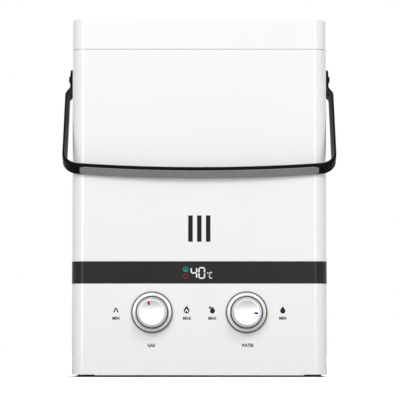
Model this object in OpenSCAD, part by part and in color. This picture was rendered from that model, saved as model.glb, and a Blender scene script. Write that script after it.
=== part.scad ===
// Portable propane water heater that stands on a table, with a swinging carry handle.
// Millimetres. X runs across the front, +Y to the back, +Z up. The origin is the middle
// of the footprint on the table, and the front of the casing faces -Y.

/* [Casing] */
// Width of the casing across the front
body_w = 310; // [290:1:340]
// Depth of the casing from the front to the back plate
body_d = 150; // [148:1:170]
// Height of the top of the cap above the table
body_h = 436; // [430:1:460]
// Radius of the two upright front corners
front_r = 15; // [8:1:20]
// Radius of the two upright back corners
back_r = 6; // [4:0.5:12]
// Thickness of the casing's sheet steel
sheet_t = 1.2; // [0.8:0.1:1.6]
// Height of the casing's lower edge above the table
skirt_z = 3; // [1:0.5:3.5]
// Width of the cover's flanges behind the back plate
flange_w = 14; // [11:1:20]
// Thickness of the back plate
back_t = 1.2; // [0.8:0.1:2]
// How far the back plate stops short of the cover's edges
back_inset = 2; // [1:0.5:3]
// Radius of the back plate's corners
back_corner_r = 5; // [2:1:10]
// Sideways clearance between the cover and what slides into it
fit_gap = 0.2; // [0.1:0.05:0.4]

/* [Top cap] */
// Height of the cap above the seam
cap_h = 37.5; // [34:0.5:42]
// Wall of the cap
cap_t = 1.6; // [1.2:0.1:2.4]
// Rounding of the cap's top edge
cap_edge_r = 2.5; // [1:0.5:3.5]
// Height of the seam between cap and cover
seam_gap = 0.8; // [0.4:0.1:1.5]
// Depth of the lip that locates the cap in the cover
lip_h = 6; // [4:1:10]
// Width of the exhaust opening in the back of the cap
exhaust_w = 196; // [150:2:210]
// Height of the exhaust opening
exhaust_h = 20; // [14:1:22]
// Number of upright slots in the exhaust grille
grille_slots = 24; // [12:1:30]
// Width of one grille slot
grille_slot_w = 4; // [2:0.5:5]

/* [Front openings] */
// Width of one sight slot
slot_w = 5.5; // [4:0.5:7]
// Height of the sight slots
slot_h = 32; // [24:1:36]
// Distance between sight slots
slot_pitch = 10.75; // [9:0.25:12]
// Number of sight slots
slot_count = 3; // [2:1:3]
// Height of the middle of the sight slots
slot_z = 179.6; // [176:1:182]

/* [Display band] */
// Height of the lower edge of the band
band_z = 113; // [112:0.5:114]
// Height of the band itself
band_h = 26.9; // [24:0.1:30]
// Depth of the channel pressed into the cover for the band
band_recess = 2; // [1.5:0.1:2.2]
// How far the band stands out of the cover
band_proud = 0.35; // [0:0.05:0.6]
// Width of the lit display module
display_w = 40; // [36:1:60]
// Height of the display module
display_h = 17; // [15:1:20]
// Sideways place of the display module
display_x = -1.5; // [-10:0.5:10]
// Width of the display's circuit board
board_w = 110; // [90:2:116]
// Thickness of the circuit boards
board_t = 1.6; // [1:0.2:2]

/* [Knobs] */
// Distance between the two knob axes
knob_spacing = 114.5; // [110:0.5:118]
// Height of the knob axes
knob_z = 78.2; // [77:0.1:80]
// How far the knobs stand out of the casing
knob_reach = 25.6; // [22:0.2:30]
// Radius of the knob at its foot
knob_r = 18.4; // [17:0.2:18.6]
// Radius of the knob where its front bevel starts
knob_nose_r = 17.6; // [16.8:0.1:17.8]
// Radius of the dished cap in the knob's face
knob_cap_r = 15; // [13:0.5:15.6]
// Depth along the axis of the knob's front bevel
knob_bevel = 3.4; // [2:0.2:5]
// Depth of the dish in the cap
dish_depth = 1.9; // [1:0.1:2.2]
// Thickness of the cap at its rim
knob_cap_t = 3.2; // [2.8:0.1:4]
// Radius of the bright collar at the knob's foot
collar_r = 19.4; // [19.2:0.1:20]
// Height of the collar
collar_h = 5; // [3:0.5:8]
// Outer radius of the fixed bezel round each knob
bezel_r = 23.7; // [23:0.1:26]
// Height of the bezel at its outer edge
bezel_h = 3; // [2:0.2:5]
// Outer radius of the trim ring round each bezel
trim_r = 25.2; // [24.6:0.1:28]
// Gap between a knob and what it turns in or over
turn_gap = 0.5; // [0.3:0.1:0.9]
// Radius of the valve spindles
spindle_r = 3; // [2.5:0.1:3.5]
// Radial clearance of the spindles in their valves
spindle_fit = 0.05; // [0.02:0.01:0.09]
// Depth of the knob's socket over its spindle
socket_depth = 14; // [10:1:17]
// Width of the coloured pointer
pointer_w = 2.6; // [2:0.1:4]
// Length of the coloured pointer
pointer_l = 5; // [3:0.5:6]
// Distance from the axis to the middle of the pointer
pointer_r = 11.2; // [9:0.1:11.4]
// Angle of the gas pointer, clockwise from the top
gas_angle = -18; // [-90:1:90]
// Angle of the water pointer, clockwise from the top
water_angle = 98; // [-98:1:98]

/* [Carry handle] */
// Distance from the top of the casing down to the handle's pivots
pivot_drop = 66.2; // [62:0.2:71]
// Distance from the casing's sides to the outer faces of the handle's arms
arm_gap = 11.5; // [10:0.5:15]
// Thickness of the handle's steel strap
strap_t = 5.3; // [4:0.1:5.5]
// Width of the handle's strap
strap_w = 15.6; // [12:0.1:16]
// Distance from the pivots to the middle of the crossbar's outer face
handle_reach = 153; // [152.6:0.1:157]
// Radius of the crossbar's slight bow
bow_r = 1700; // [1600:1:2500]
// Outer radius of the handle's corners
bend_r = 20; // [14:0.5:26]
// Radius of the round pivot ears
ear_r = 12.3; // [10:0.1:14]
// Distance from the pivot to where the arm starts to jog outward
jog_start = 14.4; // [12:0.1:18]
// Length along the arm of the jog
jog_len = 12; // [9:0.5:20]
// Angle of the resting handle from straight down
rest_angle = 35.2; // [35:0.1:40]
// Thickness of the washers under the ears
washer_t = 0.55; // [0.4:0.05:0.6]
// Radius of the washers under the ears
washer_r = 9; // [7:0.5:12]
// Axial play on both sides of each ear
ear_play = 0.1; // [0.05:0.01:0.2]
// Radius of the pivot bolts' shoulder
pivot_r = 3.2; // [2.5:0.1:4]
// Radial clearance of the ears on the pivot bolts
pivot_fit = 0.05; // [0.02:0.01:0.09]
// Radius of the pivot bolts' heads
bolt_head_r = 4.75; // [4.5:0.05:6]
// Height of the pivot bolts' heads
bolt_head_h = 1.9; // [1.5:0.1:3]
// Side of the square reinforcing plates inside the casing
pivot_plate = 38; // [30:1:50]
// Thickness of the reinforcing plates
pivot_plate_t = 3; // [2:0.5:5]
// Width of the grip pad along the crossbar
grip_w = 14.4; // [11:0.1:15]
// How far the grip pad stands out of the crossbar
grip_t = 0.8; // [0.5:0.1:2]
// Length of the grip pad
grip_l = 290; // [240:1:292]

/* [Feet and base] */
// Radius of the rubber feet
foot_r = 8; // [6:0.5:12]
// Distance of the feet's middles from the casing's sides
foot_inset = 15; // [14:0.5:20]
// Height of the base plate above the table
base_z = 4; // [3.5:0.5:6]
// Thickness of the base plate
base_t = 1.2; // [1:0.1:2]
// Radius of the neck that holds a foot in the base plate
foot_neck_r = 3; // [2:0.5:4]

/* [Fittings at the back] */
// Height of the gas and water fittings
fitting_z = 72; // [70:0.5:74]
// How far the fittings stand out of the back plate
fitting_reach = 25.6; // [22:0.2:30]
// Radius of the gas inlet's thread
gas_thread_r = 7.94; // [7:0.01:9]
// Radius of the water inlet's thread
water_thread_r = 13.5; // [12:0.05:14]
// Radius of the hot outlet's thread
hot_thread_r = 10.65; // [9:0.05:12]
// Wall of a fitting round its bore
fitting_wall = 3; // [2:0.1:3.6]
// Height of the hexagons outside the back plate
hex_h = 7; // [5:0.5:10]
// Height of the locknuts inside the back plate
locknut_h = 5; // [4:0.5:6]
// Distance between the two wall hanging holes
hanger_spacing = 200; // [160:2:240]
// Height of the wall hanging holes
hanger_z = 330; // [310:1:350]
// Radius of the round part of a hanging hole
hanger_r = 5.5; // [4:0.1:7]
// Width of the upright slot of a hanging hole
hanger_slot = 5.5; // [4:0.1:6]
// Length of the upright slot above the round part
hanger_rise = 11; // [9:1:16]

/* [Battery compartment] */
// Radius of one battery cell
cell_r = 16.5; // [13:0.1:16.8]
// Length of one battery cell
cell_l = 61; // [50:0.5:62]
// Distance from the casing's side to the compartment's middle
battery_inset = 87; // [85:1:91]
// Wall of the battery box
battery_wall = 1.6; // [1.2:0.1:2.4]
// Clearance of the cells in the box
cell_gap = 0.8; // [0.3:0.1:0.9]
// Thickness of the battery door
door_t = 2; // [1.5:0.1:2.2]
// How far the door laps over the edge of its opening
door_lap = 3; // [2:0.5:4]
// Radius of the door's hinge pin
door_pin_r = 1.2; // [1:0.1:1.5]
// Outer radius of the hinge knuckles
knuckle_r = 2.5; // [2.4:0.1:2.8]
// Radial clearance of the door on its hinge pin
door_fit = 0.05; // [0.02:0.01:0.09]

/* [Burner and heat exchanger] */
// Width of the burner housing and the exchanger's jacket
chamber_w = 184; // [170:1:196]
// Depth of the burner housing and the exchanger's jacket
chamber_d = 92; // [88:1:98]
// Wall of the housing and jacket
chamber_t = 1; // [0.8:0.1:1.4]
// Height of the lower edge of the burner housing
burner_z = 118; // [114:1:120]
// Height of the joint between burner housing and jacket
jacket_z = 206; // [204:1:212]
// Height of the top of the exchanger's jacket
jacket_top = 330; // [324:1:334]
// Number of burner blades
blade_count = 7; // [5:1:7]
// Distance between burner blades
blade_pitch = 25; // [22:0.5:26]
// Radius of a blade's mixing tube
blade_r = 7; // [5:0.5:8]
// Height of a blade
blade_h = 36; // [32:1:38]
// Radius of the gas manifold
manifold_r = 5.6; // [4:0.1:6]
// Height of the gas manifold
manifold_z = 132; // [128:1:134]
// Number of cooling fins in the exchanger
fin_count = 28; // [12:1:34]
// Thickness of one fin
fin_t = 0.8; // [0.5:0.1:1.2]
// Distance between fins
fin_pitch = 6; // [4:0.25:6]
// Height of the fins
fin_h = 26; // [22:1:30]
// Radius of the water tubes through the fins
tube_r = 5.5; // [4:0.1:6]
// Distance between the water tubes
tube_pitch = 16; // [15:0.5:17]
// Wall of all water tubes and pipes
tube_wall = 0.9; // [0.7:0.1:1.4]
// Radius of the coil round the jacket and of the pipes to it
coil_r = 6; // [5:0.1:6.4]
// Rise of the coil in one turn
coil_pitch = 24; // [18:1:26]
// Number of coil turns round the jacket
coil_turns = 3; // [2:1:3]

/* [Valves] */
// Width of a valve block
valve_w = 58; // [50:1:60]
// Depth of a valve block
valve_d = 42; // [36:1:44]
// Height of a valve block
valve_h = 44; // [40:1:46]
// Distance from the casing's front to the valve blocks
valve_setback = 12; // [10:0.5:13]
// Radius of the valves' threaded necks
neck_r = 10; // [8:0.5:11]
// Radius of the linkage rod between the valves
rod_r = 3; // [2:0.1:4]
// Radial clearance of the linkage rod
rod_fit = 0.05; // [0.02:0.01:0.09]
// Travel of the linkage rod when water flows
rod_travel = 3; // [2:0.5:4]
// Radius of the diaphragm housing
diaphragm_r = 27; // [22:0.5:28]
// Thickness of the diaphragm housing
diaphragm_t = 20; // [16:1:22]
// Radius of the solenoid on the gas valve
solenoid_r = 13; // [10:0.5:16]
// Length of the solenoid
solenoid_l = 30; // [20:1:34]

/* [Hidden] */
$fn = 96;
eps = 0.01;

front_y = -body_d / 2;
back_y = body_d / 2;
cover_back = back_y - back_t;
side_x = body_w / 2;
seam_z = body_h - cap_h;
cover_top = seam_z - seam_gap / 2;
cap_base = seam_z + seam_gap / 2;
inner_front = front_y + sheet_t;
channel_back = front_y + band_recess + sheet_t;
knob_x = knob_spacing / 2;
pivot_z = body_h - pivot_drop;
battery_x = battery_inset - side_x;
white = [0.96, 0.955, 0.945];
steel = [0.72, 0.73, 0.74];
brass = [0.80, 0.66, 0.36];
copper = [0.78, 0.45, 0.32];
dark = [0.10, 0.10, 0.11];

// Outline of the casing from above, drawn in by inset, from y = low to y = high.
module plan(inset, low, high) {
    rf = front_r - inset;
    rb = back_r - inset;
    w = side_x - inset;
    a = low + inset;
    b = high - inset;
    translate([-w, a + rf]) square([2 * w, b - rb - a - rf]);
    translate([rf - w, a]) square([2 * (w - rf), rf + eps]);
    translate([rb - w, b - rb - eps]) square([2 * (w - rb), rb + eps]);
    for (s = [-1, 1]) {
        translate([s * (w - rf), a + rf]) circle(rf);
        translate([s * (w - rb), b - rb]) circle(rb);
    }
}

module slab(inset, low, high, z0, z1) {
    translate([0, 0, z0]) linear_extrude(z1 - z0) plan(inset, low, high);
}

// A shape whose own +Z points out of the casing's front at height h above it.
module front_axis(x, z, h = 0) {
    translate([x, front_y - h, z]) rotate([90, 0, 0]) children();
}

// A shape whose own +Z points out of the casing's back.
module back_axis(x, z, y = back_y) {
    translate([x, y, z]) rotate([-90, 0, 0]) children();
}

// A shape whose own +Z points along +X.
module side_axis(x, y, z) {
    translate([x, y, z]) rotate([0, 90, 0]) children();
}

module both_knobs() {
    for (s = [-1, 1]) translate([s * knob_x, 0, 0]) children();
}

module rod_between(a, b, r) {
    d = b - a;
    turn = atan2(d[1], d[0]);
    translate(a) rotate([0, acos(d[2] / norm(d)), turn]) cylinder(h = norm(d), r = r);
}

// A solid round run through a list of points, with a ball at every corner.
module run(points, r, ball_r) {
    for (i = [0 : len(points) - 2]) rod_between(points[i], points[i + 1], r);
    for (i = [1 : 1 : len(points) - 2]) translate(points[i]) sphere(ball_r);
}

// A pipe with brazed elbows.
module pipe(points, r, wall) {
    difference() {
        run(points, r, r + 0.5);
        run(points, r - wall, r - wall + 0.25);
    }
}

// Quarter of a ring at the corner p, between the directions u (in) and v (out).
module quarter_bend(p, u, v, r, bend) {
    c = p + (v - u) * bend;
    n = cross(u, v);
    multmatrix([[-v[0], u[0], n[0], c[0]], [-v[1], u[1], n[1], c[1]], [-v[2], u[2], n[2], c[2]]])
        rotate_extrude(angle = 90) translate([bend, 0]) circle(r);
}

// A round run whose square corners are bent to a radius.
module bent_run(points, r, bend) {
    last = len(points) - 1;
    way = [for (i = [0 : last - 1]) (points[i + 1] - points[i]) / norm(points[i + 1] - points[i])];
    for (i = [0 : last - 1])
        rod_between(points[i] + (i > 0 ? bend : 0) * way[i],
            points[i + 1] - (i < last - 1 ? bend : 0) * way[i], r);
    for (i = [1 : last - 1]) quarter_bend(points[i], way[i - 1], way[i], r, bend);
}

module bent_pipe(points, r, wall, bend) {
    difference() {
        bent_run(points, r, bend);
        bent_run(points, r - wall, bend);
    }
}

// ---- Casing ----

cover_fold_h = band_recess + sheet_t;
screw_r = 1.8;
screw_clear = 0.1;
screw_x = side_x - flange_w / 2 - sheet_t;
screw_z_list = [22, 150, 290, seam_z - 14];

module screw_places() {
    for (s = [-1, 1], z = screw_z_list) translate([s * screw_x, 0, z]) children();
}

module sight_slots(y, depth) {
    for (i = [0 : slot_count - 1])
        translate([(i - (slot_count - 1) / 2) * slot_pitch - slot_w / 2, y, slot_z - slot_h / 2])
            cube([slot_w, depth, slot_h]);
}

// The pressed channel for the band: the sheet steps inward by the recess.
channel_low = band_z - sheet_t;
channel_high = band_z + band_h + sheet_t;

module cover_shell() {
    difference() {
        slab(0, front_y, cover_back, skirt_z, cover_top);
        slab(sheet_t, front_y, cover_back, skirt_z - 1, channel_low);
        slab(cover_fold_h, front_y, cover_back, channel_low - 1, channel_high + 1);
        slab(sheet_t, front_y, cover_back, channel_high, cover_top + 1);
        band_ring(band_recess, band_z, band_z + band_h);
    }
}

module band_ring(depth, z0, z1) {
    difference() {
        slab(-1, front_y, cover_back, z0, z1);
        slab(depth, front_y, cover_back, z0 - 1, z1 + 1);
        translate([-side_x, cover_back - back_r - 1, z0 - 1])
            cube([body_w, back_r + 3, z1 - z0 + 2]);
    }
}

module front_cover() {
    color(white) difference() {
        cover_shell();
        translate([flange_w - side_x, cover_back - flange_w, skirt_z - 1])
            cube([body_w - 2 * flange_w, flange_w + 1, cover_top]);
        sight_slots(front_y - 1, sheet_t + 2);
        both_knobs() front_axis(0, knob_z, -band_recess - sheet_t)
            cylinder(h = band_recess + sheet_t + 1, r = spindle_r + 3);
        translate([display_x - display_w / 2 - fit_gap, front_y,
            band_z + band_h / 2 - display_h / 2 - fit_gap])
            cube([display_w + 2 * fit_gap, cover_fold_h + 1, display_h + 2 * fit_gap]);
        side_axis(-side_x - 1, 0, pivot_z) cylinder(h = body_w + 2, r = pivot_r + fit_gap);
        screw_places() back_axis(0, 0, cover_back - sheet_t - 1)
            cylinder(h = sheet_t + 2, r = screw_r + screw_clear);
    }
}

exhaust_z = cap_base + (cap_h - seam_gap / 2 - exhaust_h) / 2 - 1;
lip_inset = sheet_t + fit_gap;
lip_back = cover_back - sheet_t;

// Quarter disc that rounds an edge: its centre at the origin, its arc towards +x and +y.
module edge_section(e) {
    intersection() {
        circle(e);
        square(e);
    }
}

// A rounded edge that runs along +X, its arc towards -Y, turned about its start.
module edge_bar(x, y, turn, length, e) {
    translate([x, y, 0]) rotate([0, 0, turn]) rotate([90, 0, 90]) linear_extrude(length)
        mirror([1, 0]) edge_section(e);
}

module edge_corner(x, y, turn, r, e) {
    translate([x, y, 0]) rotate([0, 0, turn]) rotate_extrude(angle = 90)
        translate([r - e, 0]) edge_section(e);
}

// A block with the casing's outline and a rounded top edge.
module soft_block(inset, z0, z1, e) {
    w = side_x - inset;
    a = front_y + inset;
    b = back_y - inset;
    rf = front_r - inset;
    rb = back_r - inset;
    slab(inset, front_y, back_y, z0, z1 - e);
    slab(inset + e, front_y, back_y, z1 - e, z1);
    translate([0, 0, z1 - e]) {
        edge_bar(rf - w, a + e, 0, 2 * (w - rf), e);
        edge_bar(w - e, a + rf, 90, b - rb - a - rf, e);
        edge_bar(w - rb, b - e, 180, 2 * (w - rb), e);
        edge_bar(e - w, b - rb, 270, b - rb - a - rf, e);
        edge_corner(w - rf, a + rf, 270, rf, e);
        edge_corner(w - rb, b - rb, 0, rb, e);
        edge_corner(rb - w, b - rb, 90, rb, e);
        edge_corner(rf - w, a + rf, 180, rf, e);
    }
}

module top_cap() {
    color(white) {
        difference() {
            soft_block(0, cap_base, body_h, cap_edge_r);
            slab(cap_t, front_y, back_y, cap_base - 1, body_h - cap_t);
            translate([-exhaust_w / 2, back_y - cap_t - 1, exhaust_z])
                cube([exhaust_w, cap_t + 2, exhaust_h]);
        }
        difference() {
            slab(lip_inset, front_y, lip_back, seam_z - lip_h, cap_base + lip_h / 2);
            slab(lip_inset + cap_t, front_y, lip_back, seam_z - lip_h - 1, cap_base + lip_h);
        }
    }
}

grille_t = 1;
grille_lap = 5;
grille_pitch = exhaust_w / grille_slots;

module exhaust_grille() {
    color(steel) difference() {
        translate([-exhaust_w / 2 - grille_lap, back_y - cap_t - grille_t, exhaust_z - grille_lap])
            cube([exhaust_w + 2 * grille_lap, grille_t, exhaust_h + 2 * grille_lap]);
        for (i = [0 : grille_slots - 1])
            translate([(i - (grille_slots - 1) / 2) * grille_pitch - grille_slot_w / 2,
                back_y - cap_t - grille_t - 1, exhaust_z + 1])
                cube([grille_slot_w, grille_t + 2, exhaust_h - 2]);
    }
}

// Rounded rectangle in the X-Z plane, centred on X, thick along Y.
module upright_plate(w, z0, z1, r, y, t) {
    translate([0, y + t, 0]) rotate([90, 0, 0]) linear_extrude(t) {
        translate([-w / 2 + r, z0]) square([w - 2 * r, z1 - z0]);
        translate([-w / 2, z0 + r]) square([w, z1 - z0 - 2 * r]);
        for (s = [-1, 1], z = [z0 + r, z1 - r]) translate([s * (w / 2 - r), z]) circle(r);
    }
}

vent_w = 46;
vent_h = 4;
vent_pitch = 9;
vent_rows = 8;
vent_columns = [-90, 0, 90];
vent_z = 120;

module vent_slot(w, h, depth) {
    rotate([90, 0, 0]) linear_extrude(depth) {
        translate([h / 2 - w / 2, -h / 2]) square([w - h, h]);
        for (s = [-1, 1]) translate([s * (w - h) / 2, 0]) circle(h / 2);
    }
}

module hanging_hole() {
    back_axis(0, 0, cover_back - 1) cylinder(h = back_t + 2, r = hanger_r);
    translate([-hanger_slot / 2, cover_back - 1, 0]) cube([hanger_slot, back_t + 2, hanger_rise]);
    back_axis(0, hanger_rise, cover_back - 1) cylinder(h = back_t + 2, r = hanger_slot / 2);
}

// The fittings: sideways place and thread radius of the gas, water and hot connections.
fittings = [[-knob_x, gas_thread_r], [knob_x, water_thread_r], [0, hot_thread_r]];

module back_plate() {
    color(steel) difference() {
        upright_plate(body_w - 2 * back_inset, skirt_z + 1, cover_top - 1, back_corner_r,
            cover_back, back_t);
        for (f = fittings) back_axis(f[0], fitting_z, cover_back - 1)
            cylinder(h = back_t + 2, r = f[1] + fit_gap);
        for (s = [-1, 1]) translate([s * hanger_spacing / 2, 0, hanger_z]) hanging_hole();
        for (x = vent_columns, i = [0 : vent_rows - 1])
            translate([x, back_y + 1, vent_z + i * vent_pitch]) vent_slot(vent_w, vent_h, back_t + 2);
        screw_places() back_axis(0, 0, cover_back - 1) cylinder(h = back_t + 2, r = screw_r + screw_clear);
        translate([battery_x - opening_w / 2, cover_back - 1, opening_z])
            cube([opening_w, back_t + 2, opening_h]);
    }
}

screw_l = 8;
screw_head_r = 3.6;
screw_head_h = 2;

module case_screws() {
    color(steel) screw_places() {
        back_axis(0, 0, back_y - screw_l) cylinder(h = screw_l, r = screw_r);
        back_axis(0, 0) difference() {
            union() {
                cylinder(h = screw_head_h / 2, r = screw_head_r);
                translate([0, 0, screw_head_h / 2])
                    cylinder(h = screw_head_h / 2, r1 = screw_head_r, r2 = screw_head_r - 1);
            }
            for (a = [0, 90]) rotate([0, 0, a]) translate([-1.8, -0.4, screw_head_h - 1]) cube([3.6, 0.8, 2]);
        }
    }
}

foot_x = side_x - foot_inset;
foot_y = body_d / 2 - foot_inset;

module foot_places() {
    for (x = [-foot_x, foot_x], y = [-foot_y, foot_y]) translate([x, y, 0]) children();
}

base_slot_w = 60;
base_slot_h = 5;
base_slot_x = [side_x - 125, side_x - 55];
base_slot_y = [-50, -36, -22, -8];

module base_plate() {
    color(steel) difference() {
        slab(sheet_t + fit_gap, front_y, cover_back - sheet_t, base_z, base_z + base_t);
        foot_places() translate([0, 0, base_z - 1]) cylinder(h = base_t + 2, r = foot_neck_r + fit_gap);
        for (x = base_slot_x, y = base_slot_y)
            translate([x - base_slot_w / 2, y, base_z - 1]) cube([base_slot_w, base_slot_h, base_t + 2]);
    }
}

foot_button_h = 2;

module rubber_feet() {
    color(dark) foot_places() rotate_extrude() polygon([[0, 0], [foot_r - 1.2, 0], [foot_r, 1.2],
        [foot_r, base_z], [foot_neck_r, base_z], [foot_neck_r, base_z + base_t],
        [foot_neck_r + 1.2, base_z + base_t], [foot_neck_r + 0.4, base_z + base_t + foot_button_h],
        [0, base_z + base_t + foot_button_h]]);
}

// ---- Display band ----

module display_band() {
    color(dark) difference() {
        slab(-band_proud, front_y, cover_back, band_z + 0.05, band_z + band_h - 0.05);
        slab(band_recess - 0.05, front_y, cover_back, band_z - 1, band_z + band_h + 1);
        translate([-body_w, cover_back - back_r - 1.1, band_z - 1])
            cube([2 * body_w, back_r + 6, band_h + 2]);
    }
}

post_h = 5.4;
post_r = 3;
post_inset = 5;
board_margin = 2;
board_front = channel_back + post_h;
display_mid = band_z + band_h / 2;

module display_module() {
    color(dark) translate([display_x - display_w / 2, front_y + band_recess, display_mid - display_h / 2])
        cube([display_w, board_front - front_y - band_recess, display_h]);
}

module display_board() {
    color([0.1, 0.35, 0.2]) {
        translate([-board_w / 2, board_front, band_z + board_margin])
            cube([board_w, board_t, band_h - 2 * board_margin]);
        for (s = [-1, 1]) translate([s * (board_w / 2 - post_inset), board_front, display_mid])
            rotate([90, 0, 0]) cylinder(h = post_h, r = post_r);
    }
}

window_lap = 5;
window_t = 1.2;

module sight_window() {
    w = (slot_count - 1) * slot_pitch + slot_w + 2 * window_lap;
    color([0.16, 0.16, 0.17]) translate([-w / 2, inner_front, slot_z - slot_h / 2 - window_lap])
        cube([w, window_t, slot_h + 2 * window_lap]);
}

// ---- Knobs ----

bezel_bore = collar_r + turn_gap;
trim_bore = bezel_r + 0.05;
knob_foot = 0.8;

module knob_bezels() {
    color(white) both_knobs() front_axis(0, knob_z) rotate_extrude() polygon([[bezel_bore, 0],
        [bezel_r, 0], [bezel_r, bezel_h], [bezel_r - 0.5, bezel_h + 0.4],
        [bezel_bore + 0.4, bezel_h + 0.9], [bezel_bore, bezel_h + 0.5]]);
}

module knob_trim_rings() {
    color(steel) both_knobs() front_axis(0, knob_z) rotate_extrude() polygon([[trim_bore, 0],
        [trim_r, 0], [trim_r, bezel_h - 0.6], [trim_r - 0.4, bezel_h + 0.2],
        [trim_bore + 0.3, bezel_h + 0.7], [trim_bore, bezel_h + 0.4]]);
}

socket_floor = knob_foot + socket_depth;
cap_seat = knob_reach - knob_cap_t;
press_gap = 0.03;

module knob_shell() {
    rotate_extrude() polygon([[spindle_r + press_gap, knob_foot], [knob_r, knob_foot],
        [knob_r, knob_foot + collar_h], [knob_nose_r, knob_reach - knob_bevel],
        [knob_nose_r - 0.4, knob_reach - knob_bevel + 0.5], [knob_cap_r + 0.5, knob_reach],
        [knob_cap_r + 0.1, knob_reach], [knob_cap_r + 0.1, cap_seat], [0, cap_seat],
        [0, socket_floor], [spindle_r + press_gap, socket_floor]]);
}

module knob_collar() {
    rotate_extrude() polygon([[knob_r + press_gap, knob_foot], [collar_r - 0.3, knob_foot],
        [collar_r, knob_foot + 0.3], [collar_r, knob_foot + collar_h - 0.6],
        [collar_r - 0.5, knob_foot + collar_h - 0.1], [knob_r + press_gap, knob_foot + collar_h - 0.1]]);
}

// The dish is part of a ball whose rim circle is the cap's edge.
dish_ball_r = (pow(knob_cap_r - 0.6, 2) + pow(dish_depth, 2)) / (2 * dish_depth);
pointer_top = knob_reach - dish_depth * 0.42;

module pointer_bar(w, l, z0, z1) {
    translate([-w / 2, pointer_r - l / 2 + w / 2, z0]) cube([w, l - w, z1 - z0]);
    for (s = [-1, 1]) translate([0, pointer_r + s * (l - w) / 2, z0]) cylinder(h = z1 - z0, r = w / 2);
}

module knob_cap(angle) {
    difference() {
        translate([0, 0, cap_seat]) cylinder(h = knob_cap_t, r = knob_cap_r);
        translate([0, 0, knob_reach - dish_depth + dish_ball_r]) sphere(dish_ball_r, $fn = 400);
        rotate([0, 0, -angle]) pointer_bar(pointer_w + 0.1, pointer_l + 0.1, cap_seat + 0.8, knob_reach + 1);
    }
}

module knob_pointer(angle) {
    rotate([0, 0, -angle]) pointer_bar(pointer_w, pointer_l, cap_seat + 0.8, pointer_top);
}

valve_front = front_y + valve_setback;
spindle_depth = 16;

module spindle() {
    translate([0, 0, -valve_setback - spindle_depth])
        cylinder(h = valve_setback + spindle_depth + socket_floor - 0.2, r = spindle_r);
}

module gas_knob() {
    color(white) front_axis(-knob_x, knob_z) knob_shell();
}

module gas_knob_collar() {
    color(steel) front_axis(-knob_x, knob_z) knob_collar();
}

module gas_knob_cap() {
    color(white) front_axis(-knob_x, knob_z) knob_cap(gas_angle);
}

module gas_pointer() {
    color([0.75, 0.05, 0.12]) front_axis(-knob_x, knob_z) knob_pointer(gas_angle);
}

module gas_spindle() {
    color(brass) front_axis(-knob_x, knob_z) spindle();
}

module water_knob() {
    color(white) front_axis(knob_x, knob_z) knob_shell();
}

module water_knob_collar() {
    color(steel) front_axis(knob_x, knob_z) knob_collar();
}

module water_knob_cap() {
    color(white) front_axis(knob_x, knob_z) knob_cap(water_angle);
}

module water_pointer() {
    color([0.12, 0.2, 0.6]) front_axis(knob_x, knob_z) knob_pointer(water_angle);
}

module water_spindle() {
    color(brass) front_axis(knob_x, knob_z) spindle();
}

// ---- Carry handle ----
// Drawn flat: x across, y along the arms from the pivots, then turned to its rest angle.

arm_x = side_x + arm_gap;
ear_x = side_x + washer_t + ear_play;
bow_y = handle_reach - bow_r;
bend_x = arm_x - bend_r;
bend_y = bow_y + sqrt(pow(bow_r - bend_r, 2) - pow(bend_x, 2));
bow_angle = asin(bend_x / (bow_r - bend_r));
bend_steps = 12;
bow_steps = 24;

function bend_arc(r) = [for (i = [0 : bend_steps])
    let (t = i * (90 - bow_angle) / bend_steps) [bend_x + r * cos(t), bend_y + r * sin(t)]];
function bow_arc(r, reach_angle) = [for (i = [0 : bow_steps])
    let (u = reach_angle * (1 - 2 * i / bow_steps)) [r * sin(u), bow_y + r * cos(u)]];
function flipped(points) = [for (i = [len(points) - 1 : -1 : 0]) [-points[i][0], points[i][1]]];
function reversed(points) = [for (i = [len(points) - 1 : -1 : 0]) points[i]];

// One face of the strap: from the right ear round to the left ear, drawn in by depth.
function strap_face(depth) = let (
    half = concat([[ear_x + strap_t - depth, 0], [ear_x + strap_t - depth, jog_start],
        [arm_x - depth, jog_start + jog_len]], bend_arc(bend_r - depth)))
    concat(half, bow_arc(bow_r - depth, bow_angle * 0.999), flipped(half));

module handle_pose() {
    translate([0, 0, pivot_z]) rotate([-rest_angle, 0, 0]) mirror([0, 0, 1]) rotate([90, 0, 0])
        children();
}

module ear_bore(r, x0, x1) {
    for (s = [-1, 1]) translate([s > 0 ? x0 : -x1, 0, 0]) rotate([0, 90, 0])
        cylinder(h = x1 - x0, r = r);
}

module handle_strap() {
    color(dark) handle_pose() difference() {
        union() {
            translate([0, 0, -strap_w / 2]) linear_extrude(strap_w)
                polygon(concat(strap_face(0), reversed(strap_face(strap_t))));
            ear_bore(ear_r, ear_x, ear_x + strap_t);
        }
        ear_bore(pivot_r + pivot_fit, ear_x - 1, ear_x + strap_t + 1);
    }
}

grip_angle = asin(grip_l / 2 / bow_r);

module handle_grip() {
    color([0.45, 0.45, 0.45]) handle_pose() translate([0, 0, -grip_w / 2]) linear_extrude(grip_w)
        polygon(concat(bow_arc(bow_r + grip_t, grip_angle - 0.04),
            reversed(bow_arc(bow_r + eps, grip_angle))));
}

bolt_l = 14;

module both_sides() {
    for (s = [-1, 1]) translate([0, 0, pivot_z]) rotate([0, 0, s > 0 ? 0 : 180])
        rotate([0, 90, 0]) children();
}

module pivot_bolts() {
    head = ear_x + strap_t + ear_play;
    color(dark) both_sides() difference() {
        union() {
            translate([0, 0, head - bolt_l]) cylinder(h = bolt_l, r = pivot_r);
            translate([0, 0, head]) cylinder(h = bolt_head_h * 0.4, r = bolt_head_r);
            translate([0, 0, head + bolt_head_h * 0.4])
                cylinder(h = bolt_head_h * 0.6, r1 = bolt_head_r, r2 = bolt_head_r * 0.68);
        }
        translate([0, 0, head + bolt_head_h * 0.3]) cylinder(h = bolt_head_h, r = 1.9, $fn = 6);
    }
}

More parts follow.
